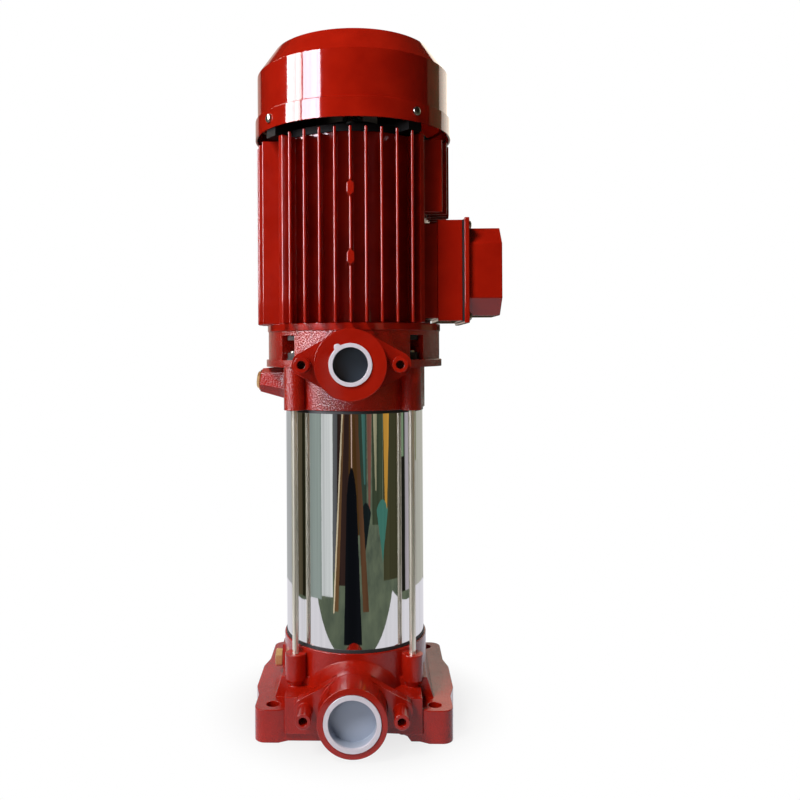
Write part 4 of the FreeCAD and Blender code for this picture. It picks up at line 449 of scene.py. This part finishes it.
def pan_screw():
    """One screw that stands on the XY plane, head up."""
    dome = [(HEAD_RADIUS * math.cos(a), HEAD_HEIGHT * (RIM_SHARE + (1 - RIM_SHARE) * math.sin(a)))
            for a in [math.radians(15 * k) for k in range(6)]]
    outline = [(0, -SHANK), (SCREW_RADIUS, -SHANK), (SCREW_RADIUS, 0), (HEAD_RADIUS, 0), *dome,
               (0, HEAD_HEIGHT)]
    screw = bpy.data.objects.new("screw", lathed("screw", outline, 32))
    bpy.context.scene.collection.objects.link(screw)
    for turn, heads in CUTTERS:
        slot = bmesh.new()
        bmesh.ops.create_cube(slot, size=1)
        bmesh.ops.transform(slot, verts=slot.verts, matrix=Matrix.Rotation(math.radians(turn), 4, "Z")
                            @ Matrix.Translation((0, 0, HEAD_HEIGHT))
                            @ Matrix.Diagonal((RECESS_LENGTH, RECESS_WIDTH, heads * HEAD_HEIGHT, 1)))
        tool_mesh = bpy.data.meshes.new("slot")
        slot.to_mesh(tool_mesh)
        slot.free()
        tool = bpy.data.objects.new("slot", tool_mesh)
        bpy.context.scene.collection.objects.link(tool)
        cutter = screw.modifiers.new("slot", "BOOLEAN")
        cutter.operation, cutter.object, cutter.solver = "DIFFERENCE", tool, "EXACT"
        bake(screw)
        bpy.data.objects.remove(tool)
    smooth_by_angle(screw, SCREW_SMOOTH_BELOW)
    return screw


screw = pan_screw()
print("one screw has", len(screw.data.polygons), "faces")

# %% [markdown]
# Geometry Nodes set the screw wherever a point says. Every point carries the direction that its screw looks
# in, so the same tree serves the round cover and the flat one.

# %% A tree that sets copies on points


def copies_tree(title, source, material):
    """Nodes that put a copy of an object on each point, along the point's own direction."""
    tree = bpy.data.node_groups.new(title, "GeometryNodeTree")
    tree.interface.new_socket("Points", in_out="INPUT", socket_type="NodeSocketGeometry")
    tree.interface.new_socket("Size", in_out="INPUT", socket_type="NodeSocketFloat")
    tree.interface.new_socket("Copies", in_out="OUTPUT", socket_type="NodeSocketGeometry")
    given = add(tree, "NodeGroupInput").outputs
    shape = add(tree, "GeometryNodeObjectInfo", values={"Object": source}).outputs["Geometry"]
    outward = add(tree, "GeometryNodeInputNamedAttribute", values={"Name": "outward"},
                  data_type="FLOAT_VECTOR")
    turn = add(tree, "FunctionNodeAlignRotationToVector", {"Vector": outward.outputs["Attribute"]}, axis="Z")
    placed = add(tree, "GeometryNodeInstanceOnPoints",
                 {"Points": given["Points"], "Instance": shape, "Rotation": turn.outputs["Rotation"],
                  "Scale": given["Size"]})
    real = add(tree, "GeometryNodeRealizeInstances", {"Geometry": placed.outputs["Instances"]})
    dressed = add(tree, "GeometryNodeSetMaterial", {"Geometry": real.outputs["Geometry"]},
                  {"Material": material})
    add(tree, "NodeGroupOutput", {"Copies": dressed.outputs["Geometry"]})
    return tree


def on_points(title, tree, places, size=1.0):
    """A mesh of one copy at each (point, outward direction)."""
    mesh = bpy.data.meshes.new(title)
    mesh.from_pydata([point for point, _ in places], [], [])
    outward = mesh.attributes.new("outward", "FLOAT_VECTOR", "POINT")
    for number, (_, direction) in enumerate(places):
        outward.data[number].vector = direction
    thing = bpy.data.objects.new(title, mesh)
    bpy.context.scene.collection.objects.link(thing)
    modifier = thing.modifiers.new("copies", "NODES")
    modifier.node_group = tree
    sockets = {item.name: item.identifier for item in tree.interface.items_tree if item.in_out == "INPUT"}
    modifier[sockets["Size"]] = size
    bake(thing)
    print(title, len(places), "copies,", len(thing.data.polygons), "faces")
    return thing


SCREW_TREE = copies_tree("screws_on_points", screw, zinc)
print("a tree of", len(SCREW_TREE.nodes), "nodes")

# %% [markdown]
# The fan cover's band is a cylinder, so its screws stand square to it at a quarter turn from each other.
# The terminal cover is flat, and its screws keep to the corners of the box that the CAD screws take up.

# %% Screws of the fan cover and of the terminal cover
BAND_RADIUS, SCREW_Z = 114 * MM, 670 * MM
SCREW_ANGLES = (38, 128, 218, 308)
cover_places = []
for angle in SCREW_ANGLES:
    outward = Vector((math.cos(math.radians(angle)), math.sin(math.radians(angle)), 0))
    cover_places.append((outward * BAND_RADIUS + Vector((0, 0, SCREW_Z)), outward))
cover_screws = on_points("fan_cover_pan_screws", SCREW_TREE, cover_places)
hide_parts("fan_cover_screws")
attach(cover_screws, "pump")

low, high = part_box("terminal_cover_screws")
inset = HEAD_RADIUS
seat = high[0] - HEAD_HEIGHT
lid_places = [(Vector((seat, y, z)), Vector((1, 0, 0)))
              for y in (low[1] + inset, high[1] - inset) for z in (low[2] + inset, high[2] - inset)]
lid_screws = on_points("terminal_cover_pan_screws", SCREW_TREE, lid_places)
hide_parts("terminal_cover_screws")
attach(lid_screws, "pump")
bpy.data.objects.remove(screw)

# %% [markdown]
# ## Studio
# The pump stands on a sheet of white paper in a room, and the picture's white is the paper and a white
# backdrop. The light that falls on the paint and the things that the paint mirrors are set apart: soft
# lamps light it from the upper left, and no reflection sees them. Red enamel stays deep only where it
# mirrors something dark, so the room is dark to reflections above the horizon.

# %% Floor


def stage_mesh(name, mesh, material):
    """A mesh that belongs to the studio and not to the pump."""
    mesh.materials.append(material)
    thing = bpy.data.objects.new(name, mesh)
    bpy.context.scene.collection.objects.link(thing)
    return thing


FLOOR_HALF, FADE_START, FADE_END = 6.0, 0.09, 0.19
WHITE_AT_FOOT = 0.78  # the rest is the lit floor, which holds the shadow
floor_white, floor_tree, floor_shader, floor_place = surface("white_floor",
                                                             {"Roughness": 0.7, "Specular IOR Level": 0.1})
floor_shader.inputs["Base Color"].default_value = linear("#B4B4B4")


def floor_node(kind, links=None, values=None, **settings):
    """The first output of a new node in the floor's tree."""
    return add(floor_tree, kind, links, values, **settings).outputs[0]


# To the camera the floor is white, and keeps a small shadow close to the foot.
radius = add(floor_tree, "ShaderNodeVectorMath", {0: floor_place}, operation="LENGTH").outputs["Value"]
fade = floor_node("ShaderNodeMapRange", {"Value": radius},
                  {"From Min": FADE_START, "From Max": FADE_END, "To Min": WHITE_AT_FOOT, "To Max": 1.0},
                  interpolation_type="SMOOTHSTEP")
rays = add(floor_tree, "ShaderNodeLightPath").outputs
seen = floor_node("ShaderNodeMath", {0: rays["Is Camera Ray"], 1: rays["Is Transmission Ray"]},
                  operation="MAXIMUM")
white_share = floor_node("ShaderNodeMath", {0: fade, 1: seen}, operation="MULTIPLY")
glow = floor_node("ShaderNodeEmission", values={"Color": (1, 1, 1, 1), "Strength": 1.0})
lit = floor_node("ShaderNodeMixShader", {0: white_share, 1: floor_shader.outputs["BSDF"], 2: glow})
print("the floor's shadow fades from", FADE_START, "to", FADE_END, "m")

# %% [markdown]
# The sleeve and the paint mirror the floor too. To them the paper is white up to its edges, and the ground
# beyond it is grey-green. Both glow evenly instead of taking the lamps' light, so the mirrored white stays
# as bright as wanted.

# %% What the floor shows to a mirror
PAPER_FRONT, PAPER_SIDE, PAPER_BACK = 0.28, 0.5, 0.5
sides = add(floor_tree, "ShaderNodeSeparateXYZ", {"Vector": floor_place}).outputs
across = floor_node("ShaderNodeMath", {0: sides["X"]}, operation="ABSOLUTE")
inside_width = floor_node("ShaderNodeMath", {0: across}, {1: PAPER_SIDE}, operation="LESS_THAN")
behind_front = floor_node("ShaderNodeMath", {0: sides["Y"]}, {1: -PAPER_FRONT}, operation="GREATER_THAN")
before_back = floor_node("ShaderNodeMath", {0: sides["Y"]}, {1: PAPER_BACK}, operation="LESS_THAN")
inside_length = floor_node("ShaderNodeMath", {0: behind_front, 1: before_back}, operation="MULTIPLY")
paper = floor_node("ShaderNodeMath", {0: inside_width, 1: inside_length}, operation="MULTIPLY")
ground = ramp(floor_tree, speckle(floor_tree, floor_place, 160), 0.3, 0.7,
              linear("#4E584C"), linear("#69735F"))
paper_light = floor_node("ShaderNodeEmission", values={"Color": linear("#E4E2EA"), "Strength": 1.0})
ground_light = floor_node("ShaderNodeEmission", {"Color": ground}, {"Strength": 1.0})
mirrored = floor_node("ShaderNodeMixShader", {0: paper, 1: ground_light, 2: paper_light})
floor_mix = floor_node("ShaderNodeMixShader", {0: rays["Is Glossy Ray"], 1: lit, 2: mirrored})
floor_out = next(node for node in floor_tree.nodes if node.type == "OUTPUT_MATERIAL")
floor_tree.links.new(floor_mix, floor_out.inputs["Surface"])
floor_mesh = bpy.data.meshes.new("floor")
floor_mesh.from_pydata([(-FLOOR_HALF, -FLOOR_HALF, 0), (FLOOR_HALF, -FLOOR_HALF, 0),
                        (FLOOR_HALF, FLOOR_HALF, 0), (-FLOOR_HALF, FLOOR_HALF, 0)], [], [(0, 1, 2, 3)])
stage_mesh("floor", floor_mesh, floor_white)
print("floor of", 2 * FLOOR_HALF, "m with paper of", 2 * PAPER_SIDE, "by", PAPER_FRONT + PAPER_BACK, "m")

# %% [markdown]
# ## What the polished sleeve mirrors
# A mirror-bright tube shows the whole room, squeezed into upright stripes, and a plain white room would
# make it look like white paper. So upright cards stand round the pump like the furniture and curtains of a
# workshop, and a dark stand with two legs stands where the camera is. The sleeve is seen from above, so it
# mirrors downwards: what stands near reaches further down the sleeve. The fan cover is seen from below and
# mirrors upwards, so tall cards far away are for it alone: a window with two panes on the left, a pale wall
# behind on the right. Only reflections see the cards, so they neither light nor darken any surface.

# %% Cards for reflections
# Each card: name, its two sides at its foot and at its top in degrees from the camera's side (positive to the
# right), distance, foot height and top height in metres, colour, strength.
LOW = 0.33
CARDS = [
    ("grey_wall_left", (-182, -111), (-182, -111), 0.55, 0, LOW, "#C4C6C8", 1.0),
    ("olive_curtain_left", (-111, -89), (-111, -89), 0.52, 0, LOW, "#645B47", 0.9),
    ("dark_gap_left", (-89, -82), (-89, -82), 0.52, 0, LOW, "#2E2C1E", 0.8),
    ("olive_frame_left", (-82, -73), (-82, -73), 0.52, 0, LOW, "#85826A", 0.9),
    ("sage_pane", (-73, -51), (-73, -51), 0.53, 0, LOW, "#A3B0AC", 1.0),
    ("bright_pane", (-51, -33), (-51, -32), 0.55, 0, LOW, "#E2E6E8", 1.1),
    ("grey_frame", (-33, -26), (-32, -24), 0.7, 0, LOW, "#6A6C70", 0.9),
    ("dark_doorway", (-27, -9), (-24, -6), 0.62, 0, 0.4, "#3B2A26", 0.9),
    ("brown_case", (-9, 8), (-6, 8), 1.0, 0, 0.4, "#5C4022", 0.9),
    ("green_cloth", (8, 20), (6, 20), 1.0, 0, 0.4, "#38493E", 0.9),
    ("teal_bag", (16, 18), (9, 19), 0.9, 0.13, 0.4, "#4F7F78", 0.9),
    ("brown_pink_brick", (23, 25), (19, 30), 0.75, 0.088, 0.4, "#97675A", 0.9),
    ("pale_post", (34, 36), (27, 38), 1.05, 0.09, 0.5, "#C2BD9C", 0.9),
    ("green_cloth_right", (29, 46), (29, 46), 1.1, 0, 0.5, "#47523F", 0.9),
    ("teal_box", (44, 46), (35, 54), 0.62, 0.037, 0.15, "#4B8578", 0.9),
    ("ochre_board", (49, 52), (45, 59), 0.62, 0.115, 0.4, "#D09A42", 1.0),
    ("olive_curtain_right", (46, 78), (46, 78), 0.64, 0, 0.4, "#4B4A34", 0.9),
    ("dark_gap_right", (78, 87), (78, 87), 0.55, 0, LOW, "#23231C", 0.8),
    ("lilac_wall", (87, 110), (87, 110), 0.55, 0, LOW, "#C3BCC4", 1.0),
    ("black_edge", (110, 115), (110, 115), 0.55, 0, LOW, "#1C1B18", 0.8),
    ("beige_wall_right", (115, 178), (115, 178), 0.55, 0, 0.22, "#CFCEC4", 1.0),
    ("dark_coat", (12, 16), (11, 26), 0.6, 0.035, 0.15, "#1B2426", 0.9),
    ("green_curtain", (73, 84), (73, 84), 0.54, 0.233, LOW, "#8EA888", 0.8),
    ("pale_strip", (-3.5, -2), (-5, -3), 0.95, 0.09, 0.4, "#D9B9AC", 0.9),
    ("dark_stand", (-15, 11), (-10, 4), 0.34, 0, 0.25, "#15171C", 0.8),
    ("stand_leg_left", (-30, -24), (-15, -13), 0.48, 0, 0.33, "#7A5A3C", 0.9),
    ("stand_leg_edge", (-32, -30), (-17, -15), 0.47, 0, 0.33, "#EBD9B8", 1.0),
    ("stand_leg_right", (13, 22), (1, 5), 0.48, 0, 0.33, "#6A4A34", 0.9),
    ("window_pane_outer", (-79, -58.5), (-79, -58.5), 2.0, 0.58, 1.75, "#FFFDFE", 30.0),
    ("window_pane_inner", (-56.5, -35), (-56.5, -35), 2.0, 0.58, 1.75, "#F4F1FF", 35.0),
    ("roof_light", (-115, -62), (-115, -62), 0.6, 1.02, 1.3, "#FFF4E8", 26.0),
    ("far_wall_left", (-180, -140), (-180, -140), 2.0, 0, 2.0, "#C8B8AC", 1.2),
    ("brown_curtain_far", (98, 124), (98, 124), 2.1, 0, 2.2, "#8C8E68", 1.0),
    ("pale_wall_low", (124, 180), (124, 180), 2.1, 0, 0.22, "#CFCEC4", 1.0),
    ("pale_wall_middle", (130, 180), (130, 180), 2.1, 0.6, 1.15, "#DCCBB8", 2.2),
    ("pale_wall_high", (124, 180), (124, 180), 2.1, 1.15, 2.2, "#DCCFC0", 3.4),
]
CARD_STEPS = 8
LOW_CARD, NARROW_CARD, BOW = 0.3, 30, 0.16  # metres, degrees, and a share of the card's height
DIMMED = 0.6  # of the card's colour, in its darker streaks
print(len(CARDS), "cards are listed")

# %% [markdown]
# A card glows in its own colour, with faint upright streaks like folds of cloth, so that no stripe in the
# mirror is one flat tone. Cards that stand low and narrow get a bowed top and foot, as a round object near
# a tube mirrors so.

# %% Set the cards up


def card_material(name, colour, strength):
    """A glow of one colour, streaked from top to foot."""
    material = bpy.data.materials.new(name)
    material.use_nodes = True
    tree = material.node_tree
    tree.nodes.clear()
    place = add(tree, "ShaderNodeTexCoord").outputs["Object"]
    upright = add(tree, "ShaderNodeMapping", {"Vector": place}, {"Scale": (1, 1, 0.03)}).outputs["Vector"]
    dim = [c * DIMMED for c in linear(colour)[:3]] + [1]
    shade = ramp(tree, speckle(tree, upright, 90), 0.3, 0.7, dim, linear(colour))
    light = add(tree, "ShaderNodeEmission", {"Color": shade}, {"Strength": strength})
    add(tree, "ShaderNodeOutputMaterial", {"Surface": light.outputs[0]})
    return material


def on_circle(azimuth, distance, height):
    """A point round the pump; azimuth in degrees from the camera's side."""
    angle = math.radians(azimuth)
    return (distance * math.sin(angle), -distance * math.cos(angle), height)


def card(name, foot, top, distance, foot_height, top_height, colour, strength):
    """An upright curved card with leaning sides."""
    bowed = top_height < LOW_CARD and top[1] - top[0] < NARROW_CARD
    bow = BOW * (top_height - foot_height) if bowed else 0
    corners = []
    for i in range(CARD_STEPS + 1):
        share = i / CARD_STEPS
        drop = bow * (2 * share - 1) ** 2
        for (start, end), level in ((foot, foot_height + drop * (foot_height > 0)), (top, top_height - drop)):
            corners.append(on_circle(start + (end - start) * share, distance, level))
    faces = [(2 * i, 2 * i + 1, 2 * i + 3, 2 * i + 2) for i in range(CARD_STEPS)]
    mesh = bpy.data.meshes.new(name)
    mesh.from_pydata(corners, [], faces)
    thing = stage_mesh(name, mesh, card_material(name, colour, strength))
    thing.visible_camera = thing.visible_diffuse = thing.visible_shadow = thing.visible_transmission = False


for details in CARDS:
    card(*details)
print(len(CARDS), "cards stand round the pump")

# %% [markdown]
# Three lamps shape the paint: a warm key from the upper left, a weak fill from the front, and a broad one
# from behind that lifts the edges. Each is hidden from reflections, which have the cards instead, so lamp
# and highlight can be moved apart.

# %% Soft lights


def soft_light(name, azimuth, distance, height, size, power, colour="#FFFFFF", aim=0.38):
    """A rectangular light that faces the pump's axis at the height aim."""
    place = Vector(on_circle(azimuth, distance, height))
    data = bpy.data.lights.new(name, "AREA")
    data.shape, data.size, data.size_y = "RECTANGLE", size[0], size[1]
    data.energy, data.color = power, linear(colour)[:3]
    thing = bpy.data.objects.new(name, data)
    bpy.context.scene.collection.objects.link(thing)
    thing.location = place
    thing.rotation_euler = (Vector((0, 0, aim)) - place).to_track_quat("-Z", "Y").to_euler()
    thing.visible_glossy = False
    print(name, power, "W")


soft_light("key_upper_left", -42, 1.6, 2.1, (0.7, 0.7), 50, "#FFFCF8")
soft_light("front_fill", -30, 2.2, 0.5, (1.2, 0.8), 11, "#FFFCFA", 0.25)
soft_light("rim_behind", 165, 2.2, 1.3, (1.6, 1.6), 20, "#FFF6EA")

# %% [markdown]
# The backdrop is the world itself: pure white where the camera sees it, a dim warm brown where paint and
# steel mirror it, and a faint grey for everything else, so that shadows keep a little light.

# %% World
world = bpy.data.worlds.new("studio")
bpy.context.scene.world = world
world.use_nodes = True
sky = world.node_tree
sky.nodes.clear()
sky_rays = add(sky, "ShaderNodeLightPath").outputs
room = add(sky, "ShaderNodeBackground", values={"Color": linear("#E6E8EA"), "Strength": 0.035})
dark_room = add(sky, "ShaderNodeBackground", values={"Color": linear("#8A7458"), "Strength": 0.1})
white = add(sky, "ShaderNodeBackground", values={"Color": (1, 1, 1, 1), "Strength": 1.0})
unlit = add(sky, "ShaderNodeMixShader",
            {0: sky_rays["Is Glossy Ray"], 1: room.outputs[0], 2: dark_room.outputs[0]})
seen_sky = add(sky, "ShaderNodeMath", {0: sky_rays["Is Camera Ray"], 1: sky_rays["Is Transmission Ray"]},
               operation="MAXIMUM")
backdrop = add(sky, "ShaderNodeMixShader", {0: seen_sky.outputs[0], 1: unlit.outputs[0], 2: white.outputs[0]})
add(sky, "ShaderNodeOutputWorld", {"Surface": backdrop.outputs[0]})
print("the world has", len(sky.nodes), "nodes")

# %% [markdown]
# The Standard view shows colours as they are, as a product picture on white needs.

# %% Colour view
bpy.context.scene.view_settings.view_transform = "Standard"
